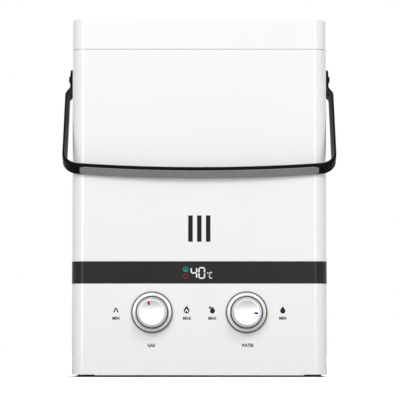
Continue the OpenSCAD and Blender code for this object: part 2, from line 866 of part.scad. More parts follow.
module pivot_washers() {
    color([0.85, 0.85, 0.85]) both_sides() translate([0, 0, side_x]) difference() {
        cylinder(h = washer_t, r = washer_r);
        translate([0, 0, -1]) cylinder(h = washer_t + 2, r = pivot_r + fit_gap / 2);
    }
}

module pivot_plates() {
    inner = side_x - sheet_t - pivot_plate_t;
    color(steel) both_sides() difference() {
        union() {
            translate([-pivot_plate / 2, -pivot_plate / 2, inner])
                cube([pivot_plate, pivot_plate, pivot_plate_t]);
            translate([0, 0, inner - 4]) cylinder(h = 4, r = pivot_r + 3, $fn = 6);
        }
        translate([0, 0, inner - 5]) cylinder(h = pivot_plate_t + 6, r = pivot_r + fit_gap / 2);
    }
}

// ---- Valves and linkage ----

valve_z0 = knob_z - valve_h / 2;
rod_y = valve_front + valve_d / 2;
rod_depth = 18;
rod_drop = 14;
rod_clear = 1;
seat_depth = 4;
manifold_setback = 18;
gas_riser_x = -knob_x - 16;
cold_riser_x = knob_x + valve_w / 2 - 10;
riser_y = front_y + manifold_setback;
gas_valve_x = -knob_x - valve_w / 2;
water_valve_x = knob_x - valve_w / 2;
diaphragm_x = water_valve_x - diaphragm_t;
gas_face = -knob_x + valve_w / 2;

module valve_block(x) {
    difference() {
        union() {
            translate([x, valve_front, valve_z0]) cube([valve_w, valve_d, valve_h]);
            front_axis(x + valve_w / 2, knob_z, -valve_setback - eps)
                cylinder(h = valve_setback - sheet_t, r = neck_r);
        }
        front_axis(x + valve_w / 2, knob_z, -valve_setback - spindle_depth - 0.5)
            cylinder(h = valve_setback + spindle_depth + 2, r = spindle_r + spindle_fit);
    }
}

module gas_valve() {
    color(steel) difference() {
        valve_block(gas_valve_x);
        side_axis(gas_face - rod_depth, rod_y, knob_z - rod_drop)
            cylinder(h = rod_depth + 1, r = rod_r + rod_fit);
        gas_pipe_seat();
    }
}

module gas_pipe_seat() {
    translate([-knob_x, valve_front + valve_d - seat_depth, fitting_z]) rotate([-90, 0, 0])
        cylinder(h = seat_depth + 1, r = coil_r + 0.1);
    translate([gas_riser_x, riser_y, valve_z0 + valve_h - seat_depth])
        cylinder(h = seat_depth + 1, r = manifold_r + 0.1);
}

module water_valve() {
    color(brass) difference() {
        valve_block(water_valve_x);
        translate([knob_x, valve_front + valve_d - seat_depth, fitting_z]) rotate([-90, 0, 0])
            cylinder(h = seat_depth + 1, r = coil_r + 0.1);
        translate([cold_riser_x, rod_y, valve_z0 + valve_h - seat_depth])
            cylinder(h = seat_depth + 1, r = coil_r + 0.1);
    }
}

module diaphragm_housing() {
    color(brass) difference() {
        union() {
            side_axis(diaphragm_x, rod_y, knob_z) cylinder(h = diaphragm_t - 8, r = diaphragm_r - 5);
            side_axis(diaphragm_x + 6, rod_y, knob_z) cylinder(h = diaphragm_t - 6, r = diaphragm_r);
        }
        side_axis(diaphragm_x - 1, rod_y, knob_z - rod_drop)
            cylinder(h = diaphragm_t - 4, r = rod_r + rod_fit);
        for (a = [0 : 60 : 300]) side_axis(diaphragm_x + 5, rod_y + (diaphragm_r - 3) * cos(a + 30),
            knob_z + (diaphragm_r - 3) * sin(a + 30)) cylinder(h = 5, r = 1.2);
    }
}

rod_collar_t = 4;

module linkage_rod() {
    left = gas_face - rod_depth + rod_travel + rod_clear;
    right = diaphragm_x + diaphragm_t - 6;
    color(steel) {
        side_axis(left, rod_y, knob_z - rod_drop) cylinder(h = right - left, r = rod_r);
        side_axis((gas_face + diaphragm_x) / 2, rod_y, knob_z - rod_drop)
            cylinder(h = rod_collar_t, r = rod_r + 2.5);
    }
}

switch_plate_t = 2;
switch_plate_d = 24;
switch_lift = 5;
switch_w = 20;
switch_d = 12;
switch_h = 11;
tab_w = 1.2;
tab_d = 6.4;
tab_h = 6;
tab_x = 6;

// The switch sits on a plate that bridges the two valves above the linkage rod.
module microswitch() {
    plate_z = knob_z - rod_drop + rod_r + switch_lift;
    body_z = plate_z + switch_plate_t;
    mid = (gas_face + diaphragm_x) / 2;
    color(dark) {
        translate([gas_face, rod_y - switch_plate_d / 2, plate_z])
            cube([diaphragm_x - gas_face, switch_plate_d, switch_plate_t]);
        translate([mid - switch_w / 2, rod_y - switch_d / 2, body_z]) cube([switch_w, switch_d, switch_h]);
        for (x = [-tab_x - tab_w, tab_x]) translate([mid + x, rod_y - tab_d / 2, body_z + switch_h])
            cube([tab_w, tab_d, tab_h]);
    }
}

module gas_solenoid() {
    color(steel) {
        side_axis(gas_valve_x - solenoid_l, rod_y, knob_z) cylinder(h = solenoid_l - 4, r = solenoid_r);
        side_axis(gas_valve_x - 5, rod_y, knob_z) cylinder(h = 5, r = solenoid_r - 4);
        side_axis(gas_valve_x - solenoid_l - 3, rod_y, knob_z) cylinder(h = 4, r = 4);
    }
}

// ---- Gas side ----

fitting_inner = cover_back - locknut_h - 6;

module gas_pipe() {
    color(steel) pipe([[-knob_x, valve_front + valve_d - seat_depth, fitting_z],
        [-knob_x, fitting_inner, fitting_z]], coil_r, tube_wall);
}

module gas_riser() {
    color(steel) pipe([[gas_riser_x, riser_y, valve_z0 + valve_h - seat_depth],
        [gas_riser_x, riser_y, manifold_z - manifold_r]], manifold_r, tube_wall);
}

chamber_front = -chamber_d / 2;
nozzle_r = 2.4;
blade_x = [for (i = [0 : blade_count - 1]) (i - (blade_count - 1) / 2) * blade_pitch];

module gas_manifold() {
    color(steel) {
        side_axis(-chamber_w / 2, riser_y, manifold_z) cylinder(h = chamber_w, r = manifold_r);
        for (x = blade_x) translate([x, riser_y, manifold_z]) rotate([-90, 0, 0])
            cylinder(h = chamber_front + chamber_t - riser_y, r = nozzle_r);
    }
}

blade_z = burner_z + 8;
blade_l = chamber_d - 2 * chamber_t - 0.2;

module burner_blades() {
    color(steel) for (x = blade_x) translate([x, blade_l / 2, 0]) rotate([90, 0, 0]) difference() {
        linear_extrude(blade_l) {
            translate([0, blade_z + blade_r]) circle(blade_r);
            translate([-2.5, blade_z + blade_r]) square([5, blade_h - blade_r - 3]);
            translate([-4.5, blade_z + blade_h - 8]) square([9, 8]);
        }
        translate([0, blade_z + blade_r, 12]) cylinder(h = blade_l, r = blade_r - 1.2);
        for (i = [1 : 9]) translate([-3.5, blade_z + blade_h - 3, i * blade_l / 10 - 1.5]) cube([7, 4, 3]);
    }
}

module burner_housing() {
    hx = chamber_w / 2;
    color(steel) difference() {
        translate([-hx, chamber_front, burner_z]) cube([chamber_w, chamber_d, jacket_z - burner_z]);
        translate([chamber_t - hx, chamber_front + chamber_t, burner_z - 1])
            cube([chamber_w - 2 * chamber_t, chamber_d - 2 * chamber_t, jacket_z - burner_z + 2]);
        for (x = blade_x) translate([x, chamber_front - 1, manifold_z]) rotate([-90, 0, 0])
            cylinder(h = chamber_t + 2, r = nozzle_r + 0.1);
        translate([-20, chamber_front - 1, slot_z - slot_h / 2]) cube([40, chamber_t + 2, slot_h - 8]);
        for (s = [-1, 1]) translate([s * electrode_x, chamber_front - 1, electrode_z]) rotate([-90, 0, 0])
            cylinder(h = chamber_t + 2, r = ceramic_r + 0.1);
    }
}

// ---- Heat exchanger ----

fin_z = jacket_top - fin_h - 2;
tube_z = fin_z + fin_h / 2;
tube_y = [for (i = [-2 : 2]) i * tube_pitch];
tube_end = chamber_w / 2 + 4;

module exchanger_jacket() {
    hx = chamber_w / 2;
    color(copper) difference() {
        translate([-hx, chamber_front, jacket_z]) cube([chamber_w, chamber_d, jacket_top - jacket_z]);
        translate([chamber_t - hx, chamber_front + chamber_t, jacket_z - 1])
            cube([chamber_w - 2 * chamber_t, chamber_d - 2 * chamber_t, jacket_top - jacket_z + 2]);
        for (y = tube_y) side_axis(-hx - 1, y, tube_z) cylinder(h = chamber_w + 2, r = tube_r + 0.1);
    }
}

module exchanger_fins() {
    color(copper) for (i = [0 : fin_count - 1]) difference() {
        translate([(i - (fin_count - 1) / 2) * fin_pitch - fin_t / 2, chamber_front + chamber_t + 0.2, fin_z])
            cube([fin_t, chamber_d - 2 * chamber_t - 0.4, fin_h]);
        for (y = tube_y) side_axis(-chamber_w, y, tube_z) cylinder(h = 2 * chamber_w, r = tube_r + 0.1);
    }
}

// A half turn that joins two neighbouring tubes outside the jacket.
module return_bend(s, y, r) {
    translate([s * tube_end, y, tube_z]) rotate([0, 0, s > 0 ? -90 : 90])
        rotate_extrude(angle = 180) translate([tube_pitch / 2, 0]) circle(r);
}

module tube_bank(r) {
    for (y = tube_y) side_axis(-tube_end, y, tube_z) cylinder(h = 2 * tube_end, r = r);
    for (y = [-1.5, 0.5]) return_bend(1, y * tube_pitch, r);
    for (y = [-0.5, 1.5]) return_bend(-1, y * tube_pitch, r);
}

module exchanger_tubes() {
    color(copper) difference() {
        tube_bank(tube_r);
        tube_bank(tube_r - tube_wall);
    }
}

coil_gap = 0.7;
coil_bend = coil_r + 2;
coil_x = chamber_w / 2 + coil_r + coil_gap;
coil_y = chamber_d / 2 + coil_r + coil_gap;
coil_z = jacket_z + 14;
link_x = tube_end + tube_pitch / 2 + 2 * tube_r + 3;
coil_inlet_x = coil_x + coil_r + 0.3;

// Each turn runs level round the jacket and steps up to the next on the right side.
// The last one climbs to the open end of the tubes.
function coil_turn(i) = let (z = coil_z + i * coil_pitch) concat(
    i > 0 ? [[coil_x, 0, z], [coil_x, -coil_y, z]] : [[coil_inlet_x, -coil_y, z]],
    [[-coil_x, -coil_y, z], [-coil_x, coil_y, z]],
    i < coil_turns - 1 ? [[coil_x, coil_y, z], [coil_x, 0, z]]
        : [[link_x, coil_y, z], [link_x, coil_y, tube_z], [link_x, tube_y[4], tube_z],
            [tube_end + 0.2, tube_y[4], tube_z]]);
coil_points = [for (i = [0 : coil_turns - 1]) each coil_turn(i)];

module exchanger_coil() {
    color(copper) bent_pipe(coil_points, coil_r, tube_wall, coil_bend);
}

// ---- Water pipes ----

module cold_pipe() {
    color(copper) pipe([[knob_x, valve_front + valve_d - seat_depth, fitting_z],
        [knob_x, fitting_inner, fitting_z]], coil_r, tube_wall);
}

riser_side_x = coil_x + 2 * coil_r + 4;
riser_turn_z = burner_z - coil_r - 2;

module cold_riser() {
    color(copper) pipe([[cold_riser_x, rod_y, valve_z0 + valve_h - seat_depth],
        [cold_riser_x, rod_y, riser_turn_z], [riser_side_x, -coil_y, riser_turn_z],
        [riser_side_x, -coil_y, coil_z],
        [coil_inlet_x + 0.2, -coil_y, coil_z]], coil_r, tube_wall);
}

hot_drop_x = -tube_end - tube_pitch / 2 - 2 * tube_r - 3;
hot_y = back_y - 13;
hot_turn_y = hot_y - 14;
hot_run_z = fitting_z + 20;

hot_bend = tube_r + 1.4;

module hot_pipe() {
    color(copper) bent_pipe([[-tube_end - 0.2, tube_y[0], tube_z], [hot_drop_x, tube_y[0], tube_z],
        [hot_drop_x, hot_y, tube_z], [hot_drop_x, hot_y, hot_run_z], [0, hot_y, hot_run_z],
        [0, hot_turn_y, hot_run_z], [0, hot_turn_y, fitting_z], [0, fitting_inner, fitting_z]],
        tube_r, tube_wall, hot_bend);
}

// ---- Flue, brackets and controls ----

hood_t = 1;
hood_w = chamber_w;
hood_gap = 0.1;

module hood_outline(d) {
    front = chamber_front + d;
    back = chamber_d / 2 - d;
    mouth = back_y - cap_t - grille_t - hood_gap;
    polygon([[front, jacket_top - (d > 0 ? 1 : 0)], [front, jacket_top + 34 - d / 2],
        [10, exhaust_z + exhaust_h + 4 - d], [mouth + (d > 0 ? 1 : 0), exhaust_z + exhaust_h + 4 - d],
        [mouth + (d > 0 ? 1 : 0), exhaust_z - 3 + d], [back + 4, exhaust_z - 3 + d],
        [back, exhaust_z - 14 + d], [back, jacket_top - (d > 0 ? 1 : 0)]]);
}

module across(w) {
    translate([-w / 2, 0, 0]) rotate([90, 0, 90]) linear_extrude(w) children();
}

module flue_hood() {
    color(steel) difference() {
        across(hood_w) hood_outline(0);
        across(hood_w - 2 * hood_t) hood_outline(hood_t);
    }
}

bracket_w = 24;
bracket_t = 1.5;
bracket_h = 16;
bracket_inset = 6;
bracket_z = [burner_z + 2, jacket_top - 36];

// Z-shaped brackets that carry the chamber on the back plate.
module chamber_brackets() {
    back = chamber_d / 2;
    x0 = chamber_w / 2 - bracket_w - bracket_inset;
    color(steel) for (s = [-1, 1], z = bracket_z)
        translate([s > 0 ? x0 : -x0 - bracket_w, 0, z]) {
            translate([0, back, 0]) cube([bracket_w, bracket_t, bracket_h]);
            translate([0, back, 0]) cube([bracket_w, cover_back - back, bracket_t]);
            translate([0, cover_back - bracket_t, 0]) cube([bracket_w, bracket_t, bracket_h]);
        }
}

electrode_x = 34;
electrode_z = blade_z + blade_h + 8;
ceramic_r = 3;
ceramic_out = 12;
ceramic_in = 8;
flange_t = 2.4;
wire_r = 1;
wire_l = 24;
pin_r = 1.5;
pin_l = 5;

module electrodes() {
    color([0.95, 0.95, 0.93]) for (s = [-1, 1]) translate([s * electrode_x, chamber_front, electrode_z])
        rotate([-90, 0, 0]) {
            translate([0, 0, -ceramic_out]) cylinder(h = ceramic_out + ceramic_in, r = ceramic_r);
            translate([0, 0, -flange_t - 0.1]) cylinder(h = flange_t, r = ceramic_r + 2);
            cylinder(h = wire_l, r = wire_r);
            translate([0, 0, 1 - ceramic_out - pin_l]) cylinder(h = pin_l, r = pin_r);
        }
}

igniter_w = 26;
igniter_d = 56;
igniter_h = 70;
igniter_z = 142;

module igniter_box() {
    x = side_x - sheet_t - igniter_w;
    color([0.9, 0.9, 0.88]) {
        translate([x, -igniter_d / 2, igniter_z]) cube([igniter_w, igniter_d, igniter_h]);
        for (y = [-18, -6, 6, 18]) translate([x + igniter_w / 2, y, igniter_z + igniter_h - eps])
            cylinder(h = 8, r = 2);
    }
}

module overheat_cutout() {
    color(dark) {
        side_axis(-chamber_w / 2 - 3, 0, tube_z - 23) cylinder(h = 3, r = 8);
        side_axis(-chamber_w / 2 - 9, 0, tube_z - 23) cylinder(h = 6 + eps, r = 6);
    }
}

// ---- Battery compartment ----

box_w = 2 * cell_l + 8;
box_in_h = 2 * (cell_r + cell_gap);
box_z = base_z + base_t;
box_h = box_in_h + 2 * battery_wall;
box_front = cover_back - box_in_h - battery_wall - 2;
opening_w = box_w - 2 * battery_wall;
opening_h = box_in_h;
opening_z = box_z + battery_wall;
cell_y = box_front + battery_wall + cell_r + cell_gap;
cell_z = opening_z + cell_r + cell_gap;

module battery_box() {
    color(dark) difference() {
        translate([battery_x - box_w / 2, box_front, box_z]) cube([box_w, cover_back - box_front, box_h]);
        translate([battery_x - opening_w / 2, box_front + battery_wall, opening_z])
            cube([opening_w, body_d, opening_h]);
    }
}

module battery_cells() {
    color([0.3, 0.3, 0.32]) for (i = [0, 1])
        side_axis(battery_x - cell_l - 0.1 + i * (cell_l + 0.2), cell_y, cell_z) {
            cylinder(h = cell_l - 1.5, r = cell_r);
            translate([0, 0, cell_l - 1.5 - eps]) cylinder(h = 1.5, r = 4.5);
        }
}

contact_t = 0.6;
contact_w = 20;
contact_margin = 4;
spring_foot_r = 7;
spring_tip_r = 4;
button_r = 5;

module battery_contacts() {
    left = battery_x - opening_w / 2;
    right = battery_x + opening_w / 2 - contact_t;
    inner_left = battery_x - cell_l - 0.4;
    color(steel) {
        for (x = [left, right]) translate([x, cell_y - contact_w / 2, opening_z + contact_margin])
            cube([contact_t, contact_w, opening_h - 2 * contact_margin]);
        side_axis(left + contact_t - eps, cell_y, cell_z)
            cylinder(h = inner_left - left - contact_t, r1 = spring_foot_r, r2 = spring_tip_r);
        side_axis(battery_x + cell_l + 0.3, cell_y, cell_z)
            cylinder(h = right - battery_x - cell_l - 0.3 + eps, r = button_r);
    }
}

door_gap = 0.3;
hinge_z = opening_z + opening_h + door_lap + knuckle_r;
hinge_y = back_y + knuckle_r + 0.1;
knuckle_count = 5;
door_w = opening_w + 2 * door_lap;
knuckle_l = door_w / knuckle_count;

module knuckles(first) {
    for (i = [first : 2 : knuckle_count - 1])
        side_axis(battery_x - door_w / 2 + i * knuckle_l + door_gap, hinge_y, hinge_z)
            cylinder(h = knuckle_l - 2 * door_gap, r = knuckle_r);
}

// The fixed leaf has the odd knuckles and the pin, and is screwed to the back plate.
module door_hinge() {
    color(dark) {
        for (i = [1 : 2 : knuckle_count - 1])
            translate([battery_x - door_w / 2 + i * knuckle_l + door_gap, back_y, hinge_z])
                cube([knuckle_l - 2 * door_gap, knuckle_r, knuckle_r + 3]);
        knuckles(1);
        side_axis(battery_x - door_w / 2, hinge_y, hinge_z) cylinder(h = door_w, r = door_pin_r);
    }
}

catch_w = 14;
finger_w = 24;

module battery_door() {
    door_low = opening_z - door_lap;
    plate_y = back_y + 0.1;
    color(dark) difference() {
        union() {
            translate([battery_x - door_w / 2, plate_y, door_low])
                cube([door_w, door_t, hinge_z - knuckle_r - door_gap - door_low]);
            for (i = [0 : 2 : knuckle_count - 1])
                translate([battery_x - door_w / 2 + i * knuckle_l + door_gap, plate_y,
                    hinge_z - knuckle_r - door_gap - eps])
                    cube([knuckle_l - 2 * door_gap, door_t, knuckle_r + door_gap]);
            knuckles(0);
            translate([battery_x - catch_w / 2, back_y - back_t, opening_z + door_gap])
                cube([catch_w, back_t + 0.1 + eps, 2]);
            translate([battery_x - finger_w / 2, plate_y, door_low]) cube([finger_w, door_t + 1.6, 4]);
        }
        side_axis(battery_x - door_w, hinge_y, hinge_z) cylinder(h = 2 * door_w, r = door_pin_r + door_fit);
    }
}

// ---- Fittings at the back ----

socket_lap = 2;
socket_step = 4;

// A turned fitting whose inner end is a socket for the pipe.
module fitting(x, r, pipe_r) {
    inner = fitting_inner - back_y - socket_lap;
    back_axis(x, fitting_z) difference() {
        union() {
            translate([0, 0, inner]) cylinder(h = fitting_reach - 1 - inner, r = r);
            cylinder(h = hex_h, r = (r + 2.5) / cos(30), $fn = 6);
            translate([0, 0, fitting_reach - 1 - eps]) cylinder(h = 1 + eps, r1 = r, r2 = r - 0.8);
        }
        translate([0, 0, inner - 1]) cylinder(h = socket_lap + socket_step + 1, r = pipe_r + 0.1);
        translate([0, 0, inner + socket_lap + socket_step - eps])
            cylinder(h = fitting_reach - inner, r = r - fitting_wall);
    }
}

module gas_inlet_fitting() {
    color(brass) fitting(fittings[0][0], fittings[0][1], coil_r);
}

module water_inlet_fitting() {
    color(brass) fitting(fittings[1][0], fittings[1][1], coil_r);
}

module hot_outlet_fitting() {
    color(brass) fitting(fittings[2][0], fittings[2][1], tube_r);
}

module fitting_locknuts() {
    color(brass) for (f = fittings) back_axis(f[0], fitting_z, cover_back - locknut_h) difference() {
        cylinder(h = locknut_h, r = (f[1] + 3) / cos(30), $fn = 6);
        translate([0, 0, -1]) cylinder(h = locknut_h + 2, r = f[1] + 0.05);
    }
}

front_cover();
top_cap();
exhaust_grille();
back_plate();
base_plate();
rubber_feet();
case_screws();
display_band();
display_module();
display_board();
sight_window();
knob_bezels();
knob_trim_rings();
gas_knob();
gas_knob_collar();
gas_knob_cap();
gas_pointer();
gas_spindle();
water_knob();
water_knob_collar();
water_knob_cap();
water_pointer();
water_spindle();
handle_strap();
handle_grip();
pivot_bolts();
pivot_washers();
pivot_plates();
gas_valve();
gas_solenoid();
water_valve();
diaphragm_housing();
linkage_rod();
microswitch();
gas_pipe();
gas_riser();
gas_manifold();
burner_blades();
burner_housing();
exchanger_jacket();
exchanger_coil();
exchanger_fins();
exchanger_tubes();
flue_hood();
chamber_brackets();
electrodes();
igniter_box();
overheat_cutout();
cold_pipe();
cold_riser();
hot_pipe();
battery_box();
battery_cells();
battery_contacts();
battery_door();
door_hinge();
gas_inlet_fitting();
water_inlet_fitting();
hot_outlet_fitting();
fitting_locknuts();
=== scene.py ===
import math

import bmesh
import bpy
from mathutils import Matrix, Vector


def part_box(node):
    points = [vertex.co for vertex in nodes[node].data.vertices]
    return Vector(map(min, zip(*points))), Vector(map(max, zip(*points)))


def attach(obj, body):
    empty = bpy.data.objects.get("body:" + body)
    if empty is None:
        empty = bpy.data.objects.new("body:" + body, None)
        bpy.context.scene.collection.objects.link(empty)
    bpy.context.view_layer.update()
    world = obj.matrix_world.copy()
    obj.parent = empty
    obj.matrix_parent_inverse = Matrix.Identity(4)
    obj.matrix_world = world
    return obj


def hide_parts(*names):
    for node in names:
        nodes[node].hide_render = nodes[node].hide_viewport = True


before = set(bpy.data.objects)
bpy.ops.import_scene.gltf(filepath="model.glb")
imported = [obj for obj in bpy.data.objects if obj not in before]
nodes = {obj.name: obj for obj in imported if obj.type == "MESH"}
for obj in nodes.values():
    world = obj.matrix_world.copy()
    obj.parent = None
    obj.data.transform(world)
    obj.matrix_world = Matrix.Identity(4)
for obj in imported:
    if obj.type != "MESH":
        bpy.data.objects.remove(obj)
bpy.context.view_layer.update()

mm = 0.001


# ---- Folded front cover and pressed top cap ----
# One sheet of 1.2 mm steel is folded round the front and the sides, and a pressed cap closes
# the top. Both are sprayed with white powder, which bakes to a fine orange peel.


def feed(tree, socket, value):
    """Links a socket to another one, or sets its plain value."""
    if isinstance(value, bpy.types.NodeSocket):
        tree.links.new(value, socket)
    else:
        socket.default_value = value


def step(tree, kind, inputs, **settings):
    """Adds one shader node. inputs gives each socket, by name or place, its value or its link."""
    made = tree.nodes.new("ShaderNode" + kind)
    for key, value in settings.items():
        setattr(made, key, value)
    for key, value in inputs.items():
        feed(tree, made.inputs[key], value)
    return made.outputs


def tinted(tree, share, first, second):
    """The colour that goes from first to second as share goes from 0 to 1."""
    return step(tree, "Mix", {0: share, 6: first, 7: second}, data_type="RGBA")[2]


def spread_about(tree, middle, spread, value):
    """middle plus spread times how far value lies from a half."""
    off = step(tree, "Math", {0: value, 1: 0.5}, operation="SUBTRACT")[0]
    return step(tree, "Math", {0: off, 1: spread, 2: middle}, operation="MULTIPLY_ADD",
                use_clamp=True)[0]


def effect(name, takes, gives):
    """An empty node group for a surface effect, with its named inputs and outputs."""
    tree = bpy.data.node_groups.new(name, "ShaderNodeTree")
    for in_out, labels in (("INPUT", takes), ("OUTPUT", gives)):
        for label in labels:
            kind = "Color" if "colour" in label.lower() else (
                "Vector" if label in ("Normal", "Centre", "Across", "Stretch") else "Float")
            tree.interface.new_socket(label, in_out=in_out, socket_type="NodeSocket" + kind)
    return tree, tree.nodes.new("NodeGroupInput").outputs, tree.nodes.new("NodeGroupOutput").inputs


# Every edge is a little round, and its very corner is rubbed by cloths and hands.
soft_edges, takes, gives = effect("soft_edges", ["Radius"], ["Normal", "Mask"])
rounded = step(soft_edges, "Bevel", {"Radius": takes["Radius"]}, samples=6)[0]
facing = step(soft_edges, "NewGeometry", {})["Normal"]
along = step(soft_edges, "VectorMath", {0: rounded, 1: facing}, operation="DOT_PRODUCT")["Value"]
turned_away = step(soft_edges, "MapRange", {
    "Value": along, "From Min": 0.995, "From Max": 0.86})[0]
place = step(soft_edges, "TexCoord", {})["Object"]
patchy = step(soft_edges, "TexNoise", {"Vector": place, "Scale": 140.0, "Detail": 3.0})[0]
broken = step(soft_edges, "MapRange", {"Value": patchy, "From Min": 0.42, "From Max": 0.66})[0]
worn_off = step(soft_edges, "Math", {0: turned_away, 1: broken}, operation="MULTIPLY")[0]
feed(soft_edges, gives["Normal"], rounded)
feed(soft_edges, gives["Mask"], worn_off)

# The even grain of a sprayed, moulded or cast skin, with slow patches of tone and gloss.
skin_grain, takes, gives = effect(
    "skin_grain",
    ["Colour", "Second colour", "Roughness", "Spread", "Grain", "Patch", "Depth", "Normal"],
    ["Colour", "Roughness", "Normal"])
place = step(skin_grain, "TexCoord", {})["Object"]
fine = step(skin_grain, "Math", {0: 1.0, 1: takes["Grain"]}, operation="DIVIDE")[0]
slow = step(skin_grain, "Math", {0: 1.0, 1: takes["Patch"]}, operation="DIVIDE")[0]
grains = step(skin_grain, "TexNoise", {"Vector": place, "Scale": fine, "Detail": 2.0})[0]
patches = step(skin_grain, "TexNoise", {"Vector": place, "Scale": slow, "Detail": 4.0})[0]
share = step(skin_grain, "MapRange", {"Value": patches, "From Min": 0.3, "From Max": 0.7})[0]
feed(skin_grain, gives["Colour"], tinted(
    skin_grain, share, takes["Colour"], takes["Second colour"]))
both = step(skin_grain, "Math", {0: patches, 1: grains}, operation="ADD")[0]
half = step(skin_grain, "Math", {0: both, 1: 0.5}, operation="MULTIPLY")[0]
feed(skin_grain, gives["Roughness"], spread_about(
    skin_grain, takes["Roughness"], takes["Spread"], half))
feed(skin_grain, gives["Normal"], step(skin_grain, "Bump", {
    "Distance": takes["Depth"], "Height": grains, "Normal": takes["Normal"]})[0])

# Where the mask is, the coat is thin and what lies under it shows.
worn_coat, takes, gives = effect(
    "worn_coat", ["Colour", "Bare colour", "Roughness", "Mask", "Amount"], ["Colour", "Roughness"])
share = step(worn_coat, "Math", {0: takes["Mask"], 1: takes["Amount"]}, operation="MULTIPLY")[0]
feed(worn_coat, gives["Colour"], tinted(worn_coat, share, takes["Colour"], takes["Bare colour"]))
feed(worn_coat, gives["Roughness"], step(
    worn_coat, "Math", {0: share, 1: 0.2, 2: takes["Roughness"]}, operation="MULTIPLY_ADD")[0])


def finish(name, plain):
    """A material whose Principled shader has these plain values on its own sockets."""
    material = bpy.data.materials.new(name)
    material.use_nodes = True
    tree = material.node_tree
    shader = tree.nodes["Principled BSDF"]
    for label, value in plain.items():
        shader.inputs[label].default_value = value
    return material, tree, shader


def layer(tree, group, values):
    """Places a shared effect in a material with its own values."""
    made = tree.nodes.new("ShaderNodeGroup")
    made.node_tree = group
    for label, value in values.items():
        feed(tree, made.inputs[label], value)
    return made.outputs


def rgb(red, green, blue):
    """A solid colour in linear light."""
    return (red, green, blue, 1.0)


def skinned(name, colour, second, rough, grain, patch, depth, edge, bare=None, rubbed=0.0,
            plain=None):
    """A sprayed, moulded or cast finish. rough is the roughness and its spread, and grain,
    patch, depth and edge are lengths in metres."""
    material, tree, shader = finish(name, plain or {})
    edges = layer(tree, soft_edges, {"Radius": edge})
    skin = layer(tree, skin_grain, {
        "Colour": colour, "Second colour": second, "Roughness": rough[0], "Spread": rough[1],
        "Grain": grain, "Patch": patch, "Depth": depth, "Normal": edges["Normal"]})
    top = layer(tree, worn_coat, {
        "Colour": skin["Colour"], "Bare colour": bare or second, "Roughness": skin["Roughness"],
        "Mask": edges["Mask"], "Amount": rubbed})
    feed(tree, shader.inputs["Base Color"], top["Colour"])
    feed(tree, shader.inputs["Roughness"], top["Roughness"])
    feed(tree, shader.inputs["Normal"], skin["Normal"])
    return material


def dress(material, *names):
    """Gives CAD nodes this material in their slots."""
    for name in names:
        for slot in nodes[name].material_slots:
            slot.material = material


white_powder = skinned(
    "white_powder_coat", rgb(0.945, 0.938, 0.927), rgb(0.932, 0.926, 0.916), (0.34, 0.10),
    1.4 * mm, 90 * mm, 0.008 * mm, 0.5 * mm, rgb(0.80, 0.79, 0.77), 0.25,
    {"Coat Weight": 1.0, "Coat Roughness": 0.12})
dress(white_powder, "front_cover")
cap_powder = skinned(
    "cap_powder_coat", rgb(0.947, 0.941, 0.930), rgb(0.935, 0.929, 0.919), (0.33, 0.10),
    1.3 * mm, 70 * mm, 0.008 * mm, 0.6 * mm, rgb(0.80, 0.79, 0.77), 0.25,
    {"Coat Weight": 1.0, "Coat Roughness": 0.12})
dress(cap_powder, "top_cap")


# ---- Back plate with its screws ----
# A flat plate with vents and hanging holes closes the back. It has the same powder, sprayed
# thinner, and pan head screws with a nickel finish hold it to the cover's flanges.
back_powder = skinned(
    "back_powder_coat", rgb(0.90, 0.898, 0.89), rgb(0.88, 0.878, 0.87), (0.46, 0.12),
    0.9 * mm, 120 * mm, 0.016 * mm, 0.4 * mm, rgb(0.62, 0.62, 0.61), 0.5)
dress(back_powder, "back_plate")

# Lines of a brushed, rolled or drawn metal: noise that is stretched along the way it was worked.
drawn_lines, takes, gives = effect(
    "drawn_lines",
    ["Colour", "Second colour", "Roughness", "Spread", "Stretch", "Depth", "Normal"],
    ["Colour", "Roughness", "Normal"])
place = step(drawn_lines, "TexCoord", {})["Object"]
pulled = step(drawn_lines, "VectorMath", {0: place, 1: takes["Stretch"]}, operation="MULTIPLY")[0]
lines = step(drawn_lines, "TexNoise", {"Vector": pulled, "Scale": 1.0, "Detail": 4.0})[0]
stains = step(drawn_lines, "TexNoise", {"Vector": place, "Scale": 22.0, "Detail": 5.0})[0]
share = step(drawn_lines, "MapRange", {"Value": stains, "From Min": 0.35, "From Max": 0.7})[0]
feed(drawn_lines, gives["Colour"], tinted(
    drawn_lines, share, takes["Colour"], takes["Second colour"]))
feed(drawn_lines, gives["Roughness"], spread_about(
    drawn_lines, takes["Roughness"], takes["Spread"], lines))
feed(drawn_lines, gives["Normal"], step(drawn_lines, "Bump", {
    "Distance": takes["Depth"], "Height": lines, "Normal": takes["Normal"]})[0])


def drawn(name, colour, second, rough, stretch, depth, edge, plain=None):
    """A metal with lines. stretch is how many lines there are in a metre along X, Y and Z."""
    material, tree, shader = finish(name, {"Metallic": 1.0, **(plain or {})})
    edges = layer(tree, soft_edges, {"Radius": edge})
    metal = layer(tree, drawn_lines, {
        "Colour": colour, "Second colour": second, "Roughness": rough[0], "Spread": rough[1],
        "Stretch": stretch, "Depth": depth, "Normal": edges["Normal"]})
    feed(tree, shader.inputs["Base Color"], metal["Colour"])
    feed(tree, shader.inputs["Roughness"], metal["Roughness"])
    feed(tree, shader.inputs["Normal"], metal["Normal"])
    return material


dress(drawn("nickel_plate", rgb(0.75, 0.75, 0.76), rgb(0.62, 0.62, 0.63), (0.26, 0.2),
            (900.0, 900.0, 900.0), 0.004 * mm, 0.3 * mm), "case_screws")
dress(drawn("stamped_stainless", rgb(0.55, 0.56, 0.57), rgb(0.45, 0.45, 0.46), (0.34, 0.3),
            (30.0, 600.0, 2600.0), 0.006 * mm, 0.2 * mm), "exhaust_grille")


